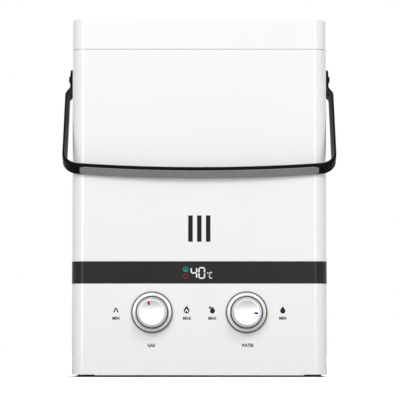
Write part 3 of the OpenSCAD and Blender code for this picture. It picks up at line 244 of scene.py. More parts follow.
# ---- Base plate and feet ----
# The base is galvanised sheet with its crystal pattern, and four turned rubber feet are pulled
# through holes in it until their buttons snap.
zinc_flower, takes, gives = effect(
    "zinc_flower", ["Colour", "Second colour", "Roughness", "Spread", "Flower", "Depth", "Normal"],
    ["Colour", "Roughness", "Normal"])
place = step(zinc_flower, "TexCoord", {})["Object"]
count = step(zinc_flower, "Math", {0: 1.0, 1: takes["Flower"]}, operation="DIVIDE")[0]
crystals = step(zinc_flower, "TexVoronoi", {"Vector": place, "Scale": count})
crystal_tone = step(zinc_flower, "SeparateColor", {0: crystals["Color"]})[0]
soil = step(zinc_flower, "TexNoise", {"Vector": place, "Scale": 35.0, "Detail": 5.0})[0]
speckle = step(zinc_flower, "TexNoise", {"Vector": place, "Scale": 1800.0, "Detail": 1.0})[0]
share = step(zinc_flower, "Math", {0: crystal_tone, 1: soil}, operation="MULTIPLY")[0]
feed(zinc_flower, gives["Colour"], tinted(
    zinc_flower, share, takes["Colour"], takes["Second colour"]))
feed(zinc_flower, gives["Roughness"], spread_about(
    zinc_flower, takes["Roughness"], takes["Spread"], crystal_tone))
feed(zinc_flower, gives["Normal"], step(zinc_flower, "Bump", {
    "Distance": takes["Depth"], "Height": speckle, "Normal": takes["Normal"]})[0])


def galvanised(name, colour, second, flower):
    """Zinc on sheet steel, with crystals about flower metres across."""
    material, tree, shader = finish(name, {"Metallic": 1.0})
    edges = layer(tree, soft_edges, {"Radius": 0.3 * mm})
    zinc = layer(tree, zinc_flower, {
        "Colour": colour, "Second colour": second, "Roughness": 0.42, "Spread": 0.24,
        "Flower": flower, "Depth": 0.01 * mm, "Normal": edges["Normal"]})
    feed(tree, shader.inputs["Base Color"], zinc["Colour"])
    feed(tree, shader.inputs["Roughness"], zinc["Roughness"])
    feed(tree, shader.inputs["Normal"], zinc["Normal"])
    return material


zinc_sheet = galvanised("galvanised_sheet", rgb(0.66, 0.67, 0.68), rgb(0.44, 0.45, 0.47), 9 * mm)
dress(zinc_sheet, "base_plate")
dress(skinned("foot_rubber", rgb(0.05, 0.05, 0.05), rgb(0.075, 0.073, 0.07), (0.78, 0.16),
              0.5 * mm, 14 * mm, 0.03 * mm, 0.6 * mm, rgb(0.14, 0.135, 0.13), 0.5),
      "rubber_feet")


# ---- Display band ----
# A dark tinted acrylic strip lies in the channel and wraps round both front corners. The lit
# figures and signs of the display behind it show through as if they were on its face.
tinted_acrylic = skinned(
    "tinted_acrylic", rgb(0.011, 0.0107, 0.0102), rgb(0.014, 0.0137, 0.013), (0.24, 0.08),
    0.7 * mm, 60 * mm, 0.003 * mm, 0.5 * mm, rgb(0.05, 0.05, 0.048), 0.2,
    {"Specular IOR Level": 0.26})
dress(tinted_acrylic, "display_band")
dress(skinned("display_case", rgb(0.05, 0.05, 0.05), rgb(0.04, 0.04, 0.04), (0.6, 0.1),
              0.4 * mm, 20 * mm, 0.01 * mm, 0.2 * mm), "display_module")
dress(skinned("circuit_board", rgb(0.05, 0.22, 0.12), rgb(0.04, 0.17, 0.09), (0.32, 0.15),
              2.2 * mm, 8 * mm, 0.02 * mm, 0.1 * mm), "display_board")

lamp_proud, lamp_depth = 0.02 * mm, 0.32 * mm
lamp_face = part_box("display_band")[0].y - lamp_proud
lamp_back = lamp_face + lamp_depth


def flat_mesh(name, outlines, front, back, material):
    """Thin plates that face -Y. Each outline is a loop of (x, z) points in metres."""
    made = bmesh.new()
    for loop in outlines:
        near = [made.verts.new((x, front, z)) for x, z in loop]
        far = [made.verts.new((x, back, z)) for x, z in loop]
        made.faces.new(near)
        made.faces.new(far[::-1])
        for i in range(len(loop)):
            j = (i + 1) % len(loop)
            made.faces.new([near[j], near[i], far[i], far[j]])
    bmesh.ops.recalc_face_normals(made, faces=made.faces)
    mesh = bpy.data.meshes.new(name)
    made.to_mesh(mesh)
    made.free()
    mesh.materials.append(material)
    piece = bpy.data.objects.new(name, mesh)
    bpy.context.scene.collection.objects.link(piece)
    return piece


def lit(name, colour, dimmer, strength):
    """Light that comes through the acrylic, a little weaker in patches."""
    material, tree, shader = finish(name, {
        "Base Color": rgb(0.002, 0.002, 0.002), "Roughness": 0.3, "Emission Strength": strength,
        "Specular IOR Level": 0.08})
    glow = layer(tree, skin_grain, {
        "Colour": colour, "Second colour": dimmer, "Roughness": 0.3, "Spread": 0.1,
        "Grain": 0.5 * mm, "Patch": 2.5 * mm, "Depth": 0.0, "Normal": (0.0, 0.0, 1.0)})
    feed(tree, shader.inputs["Emission Color"], glow["Colour"])
    return material


def bar_across(x0, x1, z, stroke):
    """A level bar of a figure, pointed at both ends."""
    h = stroke / 2
    return [(x0, z), (x0 + h, z - h), (x1 - h, z - h), (x1, z), (x1 - h, z + h), (x0 + h, z + h)]


def bar_up(x, z0, z1, stroke):
    """An upright bar of a figure, pointed at both ends."""
    return [(z, across) for across, z in bar_across(z0, z1, x, stroke)]


def figure(bars, x0, x1, z0, z1, stroke, gap):
    """The bars of one seven-bar figure, named a to g as they go round from the top."""
    left, right, mid = x0 + stroke / 2, x1 - stroke / 2, (z0 + z1) / 2
    low, high = z0 + stroke / 2, z1 - stroke / 2
    made = {
        "a": bar_across(left + gap, right - gap, high, stroke),
        "d": bar_across(left + gap, right - gap, low, stroke),
        "g": bar_across(left + gap, right - gap, mid, stroke),
        "f": bar_up(left, mid + gap, high - gap, stroke),
        "b": bar_up(right, mid + gap, high - gap, stroke),
        "e": bar_up(left, low + gap, mid - gap, stroke),
        "c": bar_up(right, low + gap, mid - gap, stroke),
    }
    return [made[bar] for bar in bars]


def ring_piece(x, z, outer, inner, first, last, count):
    """Part of a flat ring as four-cornered outlines, from angle first to last in degrees."""
    made = []
    for i in range(count):
        a, b = (math.radians(first + (last - first) * k / count) for k in (i, i + 1))
        made.append([(x + r * math.sin(t), z + r * math.cos(t))
                     for r, t in ((outer, a), (outer, b), (inner, b), (inner, a))])
    return made


def round_dot(x, z, r, count=20):
    """A round dot of radius r."""
    turns = [2 * math.pi * i / count for i in range(count)]
    return [(x + r * math.sin(t), z + r * math.cos(t)) for t in turns]


figure_low, figure_high, figure_stroke, bar_gap = 118.7 * mm, 132.9 * mm, 1.6 * mm, 0.22 * mm
white_light = lit("white_segments", rgb(1.0, 1.0, 1.0), rgb(0.9, 0.92, 0.95), 0.95)
tens_left, units_left, figure_width = -10.6 * mm, -1.1 * mm, 8.2 * mm
digits = flat_mesh("display_digits", [
    *figure("bcfg", tens_left, tens_left + figure_width, figure_low, figure_high,
            figure_stroke, bar_gap),
    *figure("abcdef", units_left, units_left + figure_width, figure_low, figure_high,
            figure_stroke, bar_gap),
], lamp_face, lamp_back, white_light)
sign_low, sign_high, sign_stroke, sign_gap = 118.8 * mm, 127.1 * mm, 1.55 * mm, 0.05 * mm
sign_left, sign_right, dot_x, dot_z = 11.5 * mm, 16.5 * mm, 10.0 * mm, 125.9 * mm
degrees_sign = flat_mesh("display_degrees", [
    round_dot(dot_x, dot_z, 0.85 * mm),
    *figure("adef", sign_left, sign_right, sign_low, sign_high, sign_stroke, sign_gap),
], lamp_face, lamp_back, lit("dim_segments", rgb(0.72, 0.72, 0.74), rgb(0.6, 0.6, 0.62), 0.95))
running_x, running_z, running_r, running_stroke = -16.6 * mm, 130.4 * mm, 3.3 * mm, 0.6 * mm
bowl_rim, bowl_foot = (2.5 * mm, -1.0 * mm), (1.5 * mm, -2.9 * mm)
running_sign = flat_mesh("sign_running", [
    *ring_piece(running_x, running_z, running_r, running_r - running_stroke, 0, 360, 28),
    [(running_x + s * half, running_z + rise) for s, (half, rise) in (
        (-1, bowl_rim), (1, bowl_rim), (1, bowl_foot), (-1, bowl_foot))],
    round_dot(running_x, running_z + 0.4 * mm, 0.95 * mm),
], lamp_face, lamp_back, lit("teal_lamp", rgb(0.02, 0.50, 0.42), rgb(0.01, 0.34, 0.30), 0.9))
flame_x, flame_z, flame_r, flame_stroke = -16.7 * mm, 121.9 * mm, 3.0 * mm, 0.85 * mm
tip_top, tip_foot, notch_degrees = (0.4 * mm, 3.3 * mm), (0.9 * mm, 1.3 * mm), 14
burning_sign = flat_mesh("sign_burning", [
    *ring_piece(flame_x, flame_z, flame_r, flame_r - flame_stroke,
                notch_degrees, 360 - notch_degrees, 24),
    [(flame_x + s * half, flame_z + rise) for s, (half, rise) in (
        (-1, tip_top), (1, tip_top), (1, tip_foot), (-1, tip_foot))],
], lamp_face, lamp_back, lit("red_lamp", rgb(0.42, 0.008, 0.03), rgb(0.34, 0.005, 0.02), 0.9))
for sign in (digits, degrees_sign, running_sign, burning_sign):
    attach(sign, "casing")


# ---- Sight window ----
# A strip of smoked heat-proof glass is clamped behind the three slots, so that the flame can
# be seen.
smoked_glass, tree, shader = finish("smoked_glass", {
    "Transmission Weight": 0.35, "IOR": 1.33, "Base Color": rgb(0.01, 0.01, 0.01)})
edges = layer(tree, soft_edges, {"Radius": 0.3 * mm})
soot = layer(tree, skin_grain, {
    "Colour": rgb(0.010, 0.010, 0.010), "Second colour": rgb(0.006, 0.006, 0.0055),
    "Roughness": 0.16, "Spread": 0.2, "Grain": 3 * mm, "Patch": 16 * mm, "Depth": 0.003 * mm,
    "Normal": edges["Normal"]})
feed(tree, shader.inputs["Base Color"], soot["Colour"])
feed(tree, shader.inputs["Roughness"], soot["Roughness"])
feed(tree, shader.inputs["Normal"], soot["Normal"])
dress(smoked_glass, "sight_window")


# ---- Knobs ----
# Each knob is a turned body with a satin dished cap pressed in, a chrome collar at its foot and a
# coloured inlay. A pearl bezel and a thin chrome ring are fixed round it on the panel. The collar
# and the ring are given a near-black metal colour, a painted dark reflection of the surroundings.
turned_rings, takes, gives = effect(
    "turned_rings",
    ["Colour", "Second colour", "Roughness", "Spread", "Centre", "Across", "Pitch", "Depth",
     "Normal"],
    ["Colour", "Roughness", "Normal"])
place = step(turned_rings, "TexCoord", {})["Object"]
off = step(turned_rings, "VectorMath", {0: place, 1: takes["Centre"]}, operation="SUBTRACT")[0]
flat = step(turned_rings, "VectorMath", {0: off, 1: takes["Across"]}, operation="MULTIPLY")[0]
reach = step(turned_rings, "VectorMath", {0: flat}, operation="LENGTH")["Value"]
count = step(turned_rings, "Math", {0: reach, 1: takes["Pitch"]}, operation="DIVIDE")[0]
cuts = step(turned_rings, "TexNoise", {"W": count, "Scale": 1.0, "Detail": 3.0},
            noise_dimensions="1D")[0]
smears = step(turned_rings, "TexNoise", {"Vector": place, "Scale": 90.0, "Detail": 4.0})[0]
share = step(turned_rings, "MapRange", {"Value": smears, "From Min": 0.35, "From Max": 0.75})[0]
feed(turned_rings, gives["Colour"], tinted(
    turned_rings, share, takes["Colour"], takes["Second colour"]))
feed(turned_rings, gives["Roughness"], spread_about(
    turned_rings, takes["Roughness"], takes["Spread"], cuts))
feed(turned_rings, gives["Normal"], step(turned_rings, "Bump", {
    "Distance": takes["Depth"], "Height": cuts, "Normal": takes["Normal"]})[0])


def turned(name, colour, second, rough, node, pitch, depth, edge, across=(1.0, 0.0, 1.0),
           plain=None):
    """A metal turned on a lathe about the middle of a node, with tool marks pitch metres apart."""
    low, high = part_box(node)
    material, tree, shader = finish(name, {"Metallic": 1.0, **(plain or {})})
    edges = layer(tree, soft_edges, {"Radius": edge})
    metal = layer(tree, turned_rings, {
        "Colour": colour, "Second colour": second, "Roughness": rough[0], "Spread": rough[1],
        "Centre": (low + high) / 2, "Across": across, "Pitch": pitch, "Depth": depth,
        "Normal": edges["Normal"]})
    feed(tree, shader.inputs["Base Color"], metal["Colour"])
    feed(tree, shader.inputs["Roughness"], metal["Roughness"])
    feed(tree, shader.inputs["Normal"], metal["Normal"])
    return material


brass_bright, brass_dull = rgb(0.78, 0.62, 0.33), rgb(0.62, 0.46, 0.22)
for side in ("gas", "water"):
    dress(turned(side + "_knob_silver", rgb(0.86, 0.86, 0.865), rgb(0.80, 0.80, 0.805),
                 (0.46, 0.12), side + "_knob", 0.25 * mm, 0.003 * mm, 0.3 * mm), side + "_knob")
    dress(turned(side + "_cap_satin", rgb(0.90, 0.90, 0.90), rgb(0.86, 0.86, 0.86), (0.42, 0.1),
                 side + "_knob", 0.16 * mm, 0.003 * mm, 0.2 * mm), side + "_knob_cap")
    # Painted dark reflection: the collar's near-black metal stands in for the dark surroundings a
    # chrome rim mirrors.
    dress(turned(side + "_collar_painted_dark_reflection", rgb(0.09, 0.085, 0.085), rgb(0.06, 0.057, 0.057),
                 (0.22, 0.1), side + "_knob", 0.2 * mm, 0.002 * mm, 0.2 * mm),
          side + "_knob_collar")
    dress(turned(side + "_spindle_brass", brass_bright, brass_dull, (0.3, 0.2),
                 side + "_knob", 0.3 * mm, 0.004 * mm, 0.2 * mm), side + "_spindle")
# Painted dark reflection: the trim ring's dark metal stands in for the dark surroundings a chrome
# rim mirrors.
dress(skinned("ring_chrome_painted_dark_reflection", rgb(0.16, 0.16, 0.165), rgb(0.12, 0.12, 0.125), (0.2, 0.12),
              0.6 * mm, 12 * mm, 0.002 * mm, 0.2 * mm, None, 0.0, {"Metallic": 1.0}),
      "knob_trim_rings")
dress(skinned("bezel_pearl", rgb(0.93, 0.92, 0.91), rgb(0.91, 0.90, 0.89), (0.22, 0.08),
              0.9 * mm, 25 * mm, 0.004 * mm, 0.3 * mm, None, 0.0,
              {"Coat Weight": 0.5, "Coat Roughness": 0.08}), "knob_bezels")
dress(skinned("red_inlay", rgb(0.56, 0.002, 0.010), rgb(0.48, 0.002, 0.008), (0.25, 0.1),
              0.5 * mm, 4 * mm, 0.004 * mm, 0.2 * mm, None, 0.0,
              {"Specular IOR Level": 0.2}), "gas_pointer")
dress(skinned("blue_inlay", rgb(0.012, 0.018, 0.27), rgb(0.010, 0.014, 0.22), (0.25, 0.1),
              0.5 * mm, 4 * mm, 0.004 * mm, 0.2 * mm, None, 0.0,
              {"Specular IOR Level": 0.2}), "water_pointer")


# ---- Printed legends ----
# Words and signs beside the knobs are screen printed in dark ink: a flame at each end of the
# gas scale and drops at the ends of the water scale.
ink = skinned("legend_ink", rgb(0.006, 0.006, 0.006), rgb(0.012, 0.012, 0.012), (0.5, 0.15),
              0.3 * mm, 3 * mm, 0.004 * mm, 0.05 * mm, None, 0.0, {"Specular IOR Level": 0.2})
panel_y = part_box("front_cover")[0].y
ink_proud, ink_sunk = 0.03 * mm, 0.05 * mm
ink_face, ink_back = panel_y - ink_proud, panel_y + ink_sunk
letter_weight, letter_depth = 0.04, 0.5


def printed_word(name, word, x0, x1, z0, z1):
    """A word in the plain built-in letters, fitted between x0 and x1 and between z0 and z1."""
    curve = bpy.data.curves.new(name + "_curve", "FONT")
    curve.body = word
    curve.extrude = letter_depth
    curve.offset = letter_weight
    holder = bpy.data.objects.new(name + "_curve", curve)
    bpy.context.scene.collection.objects.link(holder)
    bpy.context.view_layer.update()
    shaped = holder.evaluated_get(bpy.context.evaluated_depsgraph_get())
    mesh = bpy.data.meshes.new_from_object(shaped)
    bpy.data.objects.remove(holder)
    low = Vector([min(v.co[i] for v in mesh.vertices) for i in range(3)])
    high = Vector([max(v.co[i] for v in mesh.vertices) for i in range(3)])
    for v in mesh.vertices:
        across, up, out = ((v.co[i] - low[i]) / (high[i] - low[i]) for i in range(3))
        v.co = (x0 + across * (x1 - x0), ink_back + out * (ink_face - ink_back),
                z0 + up * (z1 - z0))
    mesh.materials.clear()
    mesh.materials.append(ink)
    piece = bpy.data.objects.new(name, mesh)
    bpy.context.scene.collection.objects.link(piece)
    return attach(piece, "casing")


scale_low, scale_high = 69.0 * mm, 73.0 * mm
name_low, name_high = 36.2 * mm, 40.4 * mm
for word, left, right in (("MIN", -105.2, -96.6), ("MAX", -19.7, -9.6), ("MAX", 10.9, 20.8),
                          ("MIN", 96.7, 105.3)):
    side = "gas" if left < 0 else "water"
    printed_word(f"legend_{side}_{word.lower()}", word, left * mm, right * mm,
                 scale_low, scale_high)
printed_word("legend_gas", "GAS", -62.7 * mm, -53.7 * mm, name_low, name_high)
printed_word("legend_water", "WATER", 51.0 * mm, 65.9 * mm, name_low, name_high)


def drop_outline(x, z, half, down, up, count=18):
    """A water drop: a round bottom of radius half, drawn up to a point."""
    made = []
    for i in range(count + 1):
        t = math.radians(-215 + 250 * i / count)
        made.append((x + half * math.cos(t), z - down + half + half * math.sin(t)))
    return made + [(x, z + up)]


def arch_outline(x, z, half, rise, stroke, foot, count=8):
    """Both halves of a pointed arch with a thick line, as four-cornered outlines."""
    def side_of(s, t, inset):
        return (x + s * (half - inset) * math.sin(math.pi / 2 * t) ** 0.8,
                z + (rise - inset * 1.1) * (1 - t) - foot * t)
    made = []
    for s in (-1, 1):
        for i in range(count):
            a, b = i / count, (i + 1) / count
            made.append([side_of(s, a, 0), side_of(s, b, 0), side_of(s, b, stroke),
                         side_of(s, a, stroke)])
    return made


def between(outer, inner):
    """The strip between two outlines that have as many points each, as four-cornered outlines."""
    return [[outer[i - 1], outer[i], inner[i], inner[i - 1]] for i in range(len(outer))]


sign_row, low_sign_x, high_sign_x = 80.9 * mm, 101.0 * mm, 15.4 * mm
signs = {
    "legend_flame_low": arch_outline(
        -low_sign_x, sign_row, 2.9 * mm, 3.2 * mm, 1.7 * mm, 2.8 * mm),
    "legend_flame_high": between(
        drop_outline(-high_sign_x, sign_row, 3.5 * mm, 4.2 * mm, 5.4 * mm),
        drop_outline(-high_sign_x, sign_row - 1.2 * mm, 2.1 * mm, 2.6 * mm, 2.9 * mm))
    + [drop_outline(-high_sign_x, sign_row - 2.2 * mm, 1.3 * mm, 1.9 * mm, 1.9 * mm)],
    "legend_drop_high": [
        drop_outline(high_sign_x + 0.5 * mm, sign_row, 3.1 * mm, 4.2 * mm, 4.4 * mm),
        drop_outline(high_sign_x - 2.5 * mm, sign_row + 2.9 * mm, 1.35 * mm, 1.5 * mm,
                     2.1 * mm)],
    "legend_drop_low": [drop_outline(low_sign_x, sign_row, 3.2 * mm, 4.3 * mm, 4.6 * mm)],
}
for name, outlines in signs.items():
    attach(flat_mesh(name, outlines, ink_face, ink_back, ink), "casing")


# ---- Carry handle ----
# A flat steel strap is cranked out below its round ears, bent at both corners and slightly bowed
# across. It is powder coated black. The bevelled side that lies against the casing is painted a
# little greyer, a painted reflection of the white casing beside it. The strap has a soft grey grip
# along the crossbar and turns on two shoulder bolts.
strap_powder = skinned(
    "strap_powder_coat", rgb(0.0015, 0.0015, 0.0015), rgb(0.003, 0.003, 0.003), (0.30, 0.12),
    0.8 * mm, 40 * mm, 0.006 * mm, 0.3 * mm, rgb(0.05, 0.05, 0.048), 0.25,
    {"Specular IOR Level": 0.06})
# Painted reflection: this grey on the inner bevel stands in for the white casing mirrored there.
strap_bevel_painted_reflection = skinned(
    "strap_bevel_painted_reflection_coat", rgb(0.052, 0.052, 0.050), rgb(0.038, 0.038, 0.037), (0.40, 0.14),
    0.8 * mm, 30 * mm, 0.006 * mm, 0.3 * mm, rgb(0.09, 0.09, 0.088), 0.3,
    {"Specular IOR Level": 0.2})
dress(strap_powder, "pivot_bolts")
dress(skinned("washer_nylon", rgb(0.10, 0.10, 0.10), rgb(0.08, 0.08, 0.08), (0.5, 0.1),
              0.4 * mm, 6 * mm, 0.006 * mm, 0.1 * mm), "pivot_washers")
dress(zinc_sheet, "pivot_plates")

bolt_low, bolt_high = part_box("pivot_bolts")
pivot_height = (bolt_low.z + bolt_high.z) / 2
lean = math.radians(35.2)
strap_half_t, strap_half_w, strap_round = 2.65 * mm, 7.8 * mm, 0.9 * mm
inner_bevel, bevel_slant, bevel_fade = 2.5 * mm, 2.2, 4
corner_points, painted_reflection_from, painted_reflection_to = 7, 7, 19
ear_mid, arm_mid, ear_radius = 158.3 * mm, 163.65 * mm, 12.3 * mm
arm_half_t = 2.85 * mm
crank_start, crank_length = 17.6 * mm, 13.4 * mm
corner_x, corner_y, corner_radius = 146.5 * mm, 126.6 * mm, 17.35 * mm
corner_in = corner_x + corner_radius - arm_mid
bow_centre, bow_radius, bow_half = -1547 * mm, 1697.35 * mm, math.radians(5.003)


def leaning(x, y, w):
    """Puts a point of the flat handle in place: y runs down the arms, w across the strap."""
    return Vector((x, -w * math.cos(lean) - y * math.sin(lean),
                   w * math.sin(lean) - y * math.cos(lean) + pivot_height))


def skin_over(name, rings, material, joined=False):
    """A closed skin over rings that have as many points each. joined links the last ring to
    the first."""
    made = bmesh.new()
    hoops = [[made.verts.new(p) for p in ring] for ring in rings]
    pairs = list(zip(hoops, hoops[1:])) + ([(hoops[-1], hoops[0])] if joined else [])
    for first, second in pairs:
        for i in range(len(first)):
            j = (i + 1) % len(first)
            made.faces.new([first[i], first[j], second[j], second[i]])
    if not joined:
        made.faces.new(hoops[0][::-1])
        made.faces.new(hoops[-1])
    bmesh.ops.recalc_face_normals(made, faces=made.faces)
    for face in made.faces:
        face.smooth = True
    mesh = bpy.data.meshes.new(name)
    made.to_mesh(mesh)
    made.free()
    mesh.materials.append(material)
    piece = bpy.data.objects.new(name, mesh)
    bpy.context.scene.collection.objects.link(piece)
    return piece


def strap_section(x, y, nx, ny, half_t, half_w, corner, bevel):
    """A rounded oblong across the strap. (nx, ny) points out of its outer face, and the bevel
    is on the front edge of its inner face."""
    made = []
    for st, sw, start in ((1, 1, 0), (-1, 1, 90), (-1, -1, 180), (1, -1, 270)):
        slant = bevel if (st, sw) == (-1, 1) else 0.0
        thick, wide = corner + slant, corner + bevel_slant * slant
        for k in range(corner_points):
            t = math.radians(start + 90 * k / (corner_points - 1))
            out = st * (half_t - thick) + thick * math.cos(t)
            across = sw * (half_w - wide) + wide * math.sin(t)
            made.append(leaning(x + nx * out, y + ny * out, across))
    return made


def right_half_of_strap():
    """Stations from the right ear's tip to the middle: x, y, outward direction, half widths."""
    made = []
    ear_step, ear_steps, crank_steps, arm_steps, corner_steps, bar_steps = 5.2, 26, 16, 6, 18, 12
    for i in range(1, ear_steps + 1):
        t = math.radians(ear_step * i)
        y, half_w = -ear_radius * math.cos(t), ear_radius * math.sin(t)
        if y > 0 and half_w < strap_half_w:
            break
        rim = ear_radius * (1 - math.cos(t))
        thin = max(0.0, strap_round - rim)
        made.append((ear_mid, y, 1, 0,
                     strap_half_t - strap_round + math.sqrt(strap_round ** 2 - thin ** 2), half_w))
    for i in range(crank_steps + 1):
        t = i / crank_steps
        s = t * t * (3 - 2 * t)
        slope = (arm_mid - ear_mid) * 6 * t * (1 - t) / crank_length
        size = math.hypot(1, slope)
        made.append((ear_mid + (arm_mid - ear_mid) * s, crank_start + crank_length * t,
                     1 / size, -slope / size,
                     strap_half_t + (arm_half_t - strap_half_t) * s, strap_half_w))
    for i in range(1, arm_steps):
        y = crank_start + crank_length
        made.append((arm_mid, y + (corner_y - y) * i / arm_steps, 1, 0, arm_half_t,
                     strap_half_w))
    for i in range(corner_steps + 1):
        t = (math.pi / 2 - bow_half) * i / corner_steps
        r = corner_radius - corner_in * math.cos(t) ** 2
        made.append((corner_x + r * math.cos(t), corner_y + r * math.sin(t), math.cos(t),
                     math.sin(t), strap_half_t + corner_in * math.cos(t) ** 2, strap_half_w))
    for i in range(1, bar_steps + 1):
        u = bow_half * (1 - i / bar_steps)
        made.append((bow_radius * math.sin(u), bow_centre + bow_radius * math.cos(u),
                     math.sin(u), math.cos(u), strap_half_t, strap_half_w))
    return made


half = right_half_of_strap()
whole = half + [(-x, y, -nx, ny, t, w) for x, y, nx, ny, t, w in half[-2::-1]]
rings = []
for x, y, nx, ny, half_t, half_w in whole:
    corner = min(strap_round, half_w * 0.98, half_t * 0.98)
    bevel = inner_bevel * nx ** bevel_fade if y > crank_start else 0.0
    rings.append(strap_section(x, y, nx, ny, half_t, half_w, corner, bevel))
strap = skin_over("carry_strap", rings, strap_powder)
strap.data.materials.append(strap_bevel_painted_reflection)
points_round = 4 * corner_points
# The faces of the inner bevel take the second material, whose grey is a painted reflection of the
# casing.
for number, face in enumerate(strap.data.polygons):
    on_length = number < (len(rings) - 1) * points_round
    if on_length and painted_reflection_from <= number % points_round <= painted_reflection_to:
        face.material_index = 1
pivot_bore, drill_length = 3.25 * mm, 400 * mm
bore = bpy.data.meshes.new("strap_bore")
drill = bmesh.new()
bmesh.ops.create_cone(drill, cap_ends=True, segments=48, radius1=pivot_bore, radius2=pivot_bore,
                      depth=drill_length, matrix=Matrix.Translation((0, 0, pivot_height))
                      @ Matrix.Rotation(math.pi / 2, 4, "Y"))
drill.to_mesh(bore)
drill.free()
drill_piece = bpy.data.objects.new("strap_bore", bore)
bpy.context.scene.collection.objects.link(drill_piece)


def cut_with(piece, cutter):
    """Cuts one closed mesh with another and keeps the result as the piece's own mesh."""
    cut = piece.modifiers.new("cut", "BOOLEAN")
    cut.operation, cut.solver, cut.object = "DIFFERENCE", "EXACT", cutter
    bpy.context.view_layer.update()
    shaped = piece.evaluated_get(bpy.context.evaluated_depsgraph_get())
    mesh = bpy.data.meshes.new_from_object(shaped)
    piece.modifiers.clear()
    piece.data = mesh
    bpy.data.objects.remove(cutter)


cut_with(strap, drill_piece)
strap.modifiers.new("even_shading", "WEIGHTED_NORMAL").keep_sharp = True
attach(strap, "handle")
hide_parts("handle_strap")

grip_rubber = skinned(
    "grip_soft_touch", rgb(0.305, 0.298, 0.29), rgb(0.28, 0.274, 0.268), (0.62, 0.12),
    0.45 * mm, 30 * mm, 0.02 * mm, 0.3 * mm, rgb(0.26, 0.258, 0.25), 0.25)
pad_length, pad_half_w, pad_height, pad_lift = 290 * mm, 7.2 * mm, 0.8 * mm, 0.01 * mm
pad_end_radius, pad_end_cut, pad_lip, lip_share = 3 * mm, 2.4 * mm, 0.4 * mm, 0.35
pad_profile = ((-1, 0), (-1, 0.45), (-0.93, 0.85), (-0.8, 1), (-0.4, 1), (0, 1), (0.4, 1),
               (0.8, 1), (0.93, 0.85), (1, 0.45), (1, 0))
pad_stations = 60
pad_face = bow_radius + strap_half_t
rings = []
for i in range(pad_stations + 1):
    along = (2 * i / pad_stations - 1)
    from_end = (1 - abs(along)) * pad_length / 2
    shrink = 0.0 if from_end > pad_end_radius else pad_end_radius - math.sqrt(
        max(0.0, pad_end_radius ** 2 - (pad_end_radius - from_end) ** 2))
    width = pad_half_w - min(shrink, pad_end_cut)
    u = along * pad_length / 2 / pad_face
    fullness = 1.0 if from_end > pad_lip else lip_share
    ring = []
    for w, rise in pad_profile:
        r = pad_face + pad_lift + rise * (pad_height - pad_lift) * fullness
        ring.append(leaning(r * math.sin(u), bow_centre + r * math.cos(u), w * width))
    rings.append(ring)
grip = skin_over("grip_pad", rings, grip_rubber)
grip.modifiers.new("even_shading", "WEIGHTED_NORMAL").keep_sharp = True
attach(grip, "handle")
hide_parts("handle_grip")


# ---- Threaded fittings at the back ----
# The gas inlet, water inlet and hot outlet are turned from hexagon brass, threaded outside,
# and held by locknuts behind the back plate.


def threaded_fitting(node, name, pitch, pipe, material):
    """A brass fitting along Y with a hexagon, two threads, a bore and a socket for its pipe."""
    hex_overhang, hex_thick, wall, socket_depth = 2.5 * mm, 7 * mm, 3 * mm, 11 * mm
    low_chamfer, full_hexagon, across = 1.04, 1.16, 48
    low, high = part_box(node)
    middle = (low + high) / 2
    hex_flat = min(high.x - low.x, high.z - low.z) / 2
    thread = hex_flat - hex_overhang
    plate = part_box("back_plate")[1].y
    hex_end, end = plate + hex_thick, high.y
    bore_radius = thread - wall

    def hoop(y, radius_at):
        made = []
        for i in range(across):
            t = 2 * math.pi * i / across
            r = radius_at(t)
            made.append(Vector((middle.x + r * math.cos(t), y, middle.z + r * math.sin(t))))
        return made

    def cut_at(y):
        def radius(t):
            phase = (y / pitch - t / (2 * math.pi)) % 1
            return thread - 0.55 * pitch * min(1.0, abs(2 * phase - 1) * 1.15)
        return radius

    def hexagon(chamfer):
        def radius(t):
            nearest = (t + math.pi / 6) % (math.pi / 3) - math.pi / 6
            return min(hex_flat / math.cos(nearest), hex_flat * chamfer)
        return radius

    def plain(r):
        return lambda t: r

    def threaded(y0, y1):
        count = max(2, round((y1 - y0) / pitch * 6))
        return [hoop(y0 + (y1 - y0) * i / count, cut_at(y0 + (y1 - y0) * i / count))
                for i in range(count + 1)]

    root = thread - 0.6 * pitch
    hoops = [hoop(low.y, plain(root)), *threaded(low.y + 0.5 * mm, plate - 1.6 * mm),
             hoop(plate - 1.4 * mm, plain(thread)), hoop(plate, plain(thread)),
             hoop(plate + 0.02 * mm, hexagon(low_chamfer)),
             hoop(plate + 1.0 * mm, hexagon(full_hexagon)),
             hoop(hex_end - 1.0 * mm, hexagon(full_hexagon)), hoop(hex_end, hexagon(low_chamfer)),
             hoop(hex_end + 0.02 * mm, plain(root)), hoop(hex_end + 1.2 * mm, plain(root)),
             *threaded(hex_end + 1.3 * mm, end - 0.9 * mm),
             hoop(end - 0.8 * mm, plain(root)), hoop(end, plain(root - 0.5 * mm)),
             hoop(end, plain(bore_radius + 0.5 * mm)), hoop(end - 0.6 * mm, plain(bore_radius)),
             hoop(low.y + socket_depth + 1 * mm, plain(bore_radius)),
             hoop(low.y + socket_depth, plain(pipe)),
             hoop(low.y, plain(pipe))]
    piece = skin_over(name, hoops, material, joined=True)
    piece.modifiers.new("even_shading", "WEIGHTED_NORMAL").keep_sharp = True
    return piece


for node, name, pitch, pipe in (("gas_inlet_fitting", "gas_inlet", 1.4 * mm, 6.1 * mm),
                                ("water_inlet_fitting", "water_inlet", 2.2 * mm, 6.1 * mm),
                                ("hot_outlet_fitting", "hot_outlet", 1.8 * mm, 5.6 * mm)):
    fitting_brass = turned(name + "_brass", brass_bright, brass_dull, (0.26, 0.2), node,
                           0.3 * mm, 0.004 * mm, 0.2 * mm)
    fitting = threaded_fitting(node, name, pitch, pipe, fitting_brass)
    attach(fitting, "casing")
    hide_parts(node)
dress(turned("locknut_brass", brass_bright, brass_dull, (0.3, 0.2), "fitting_locknuts",
             0.3 * mm, 0.004 * mm, 0.3 * mm), "fitting_locknuts")


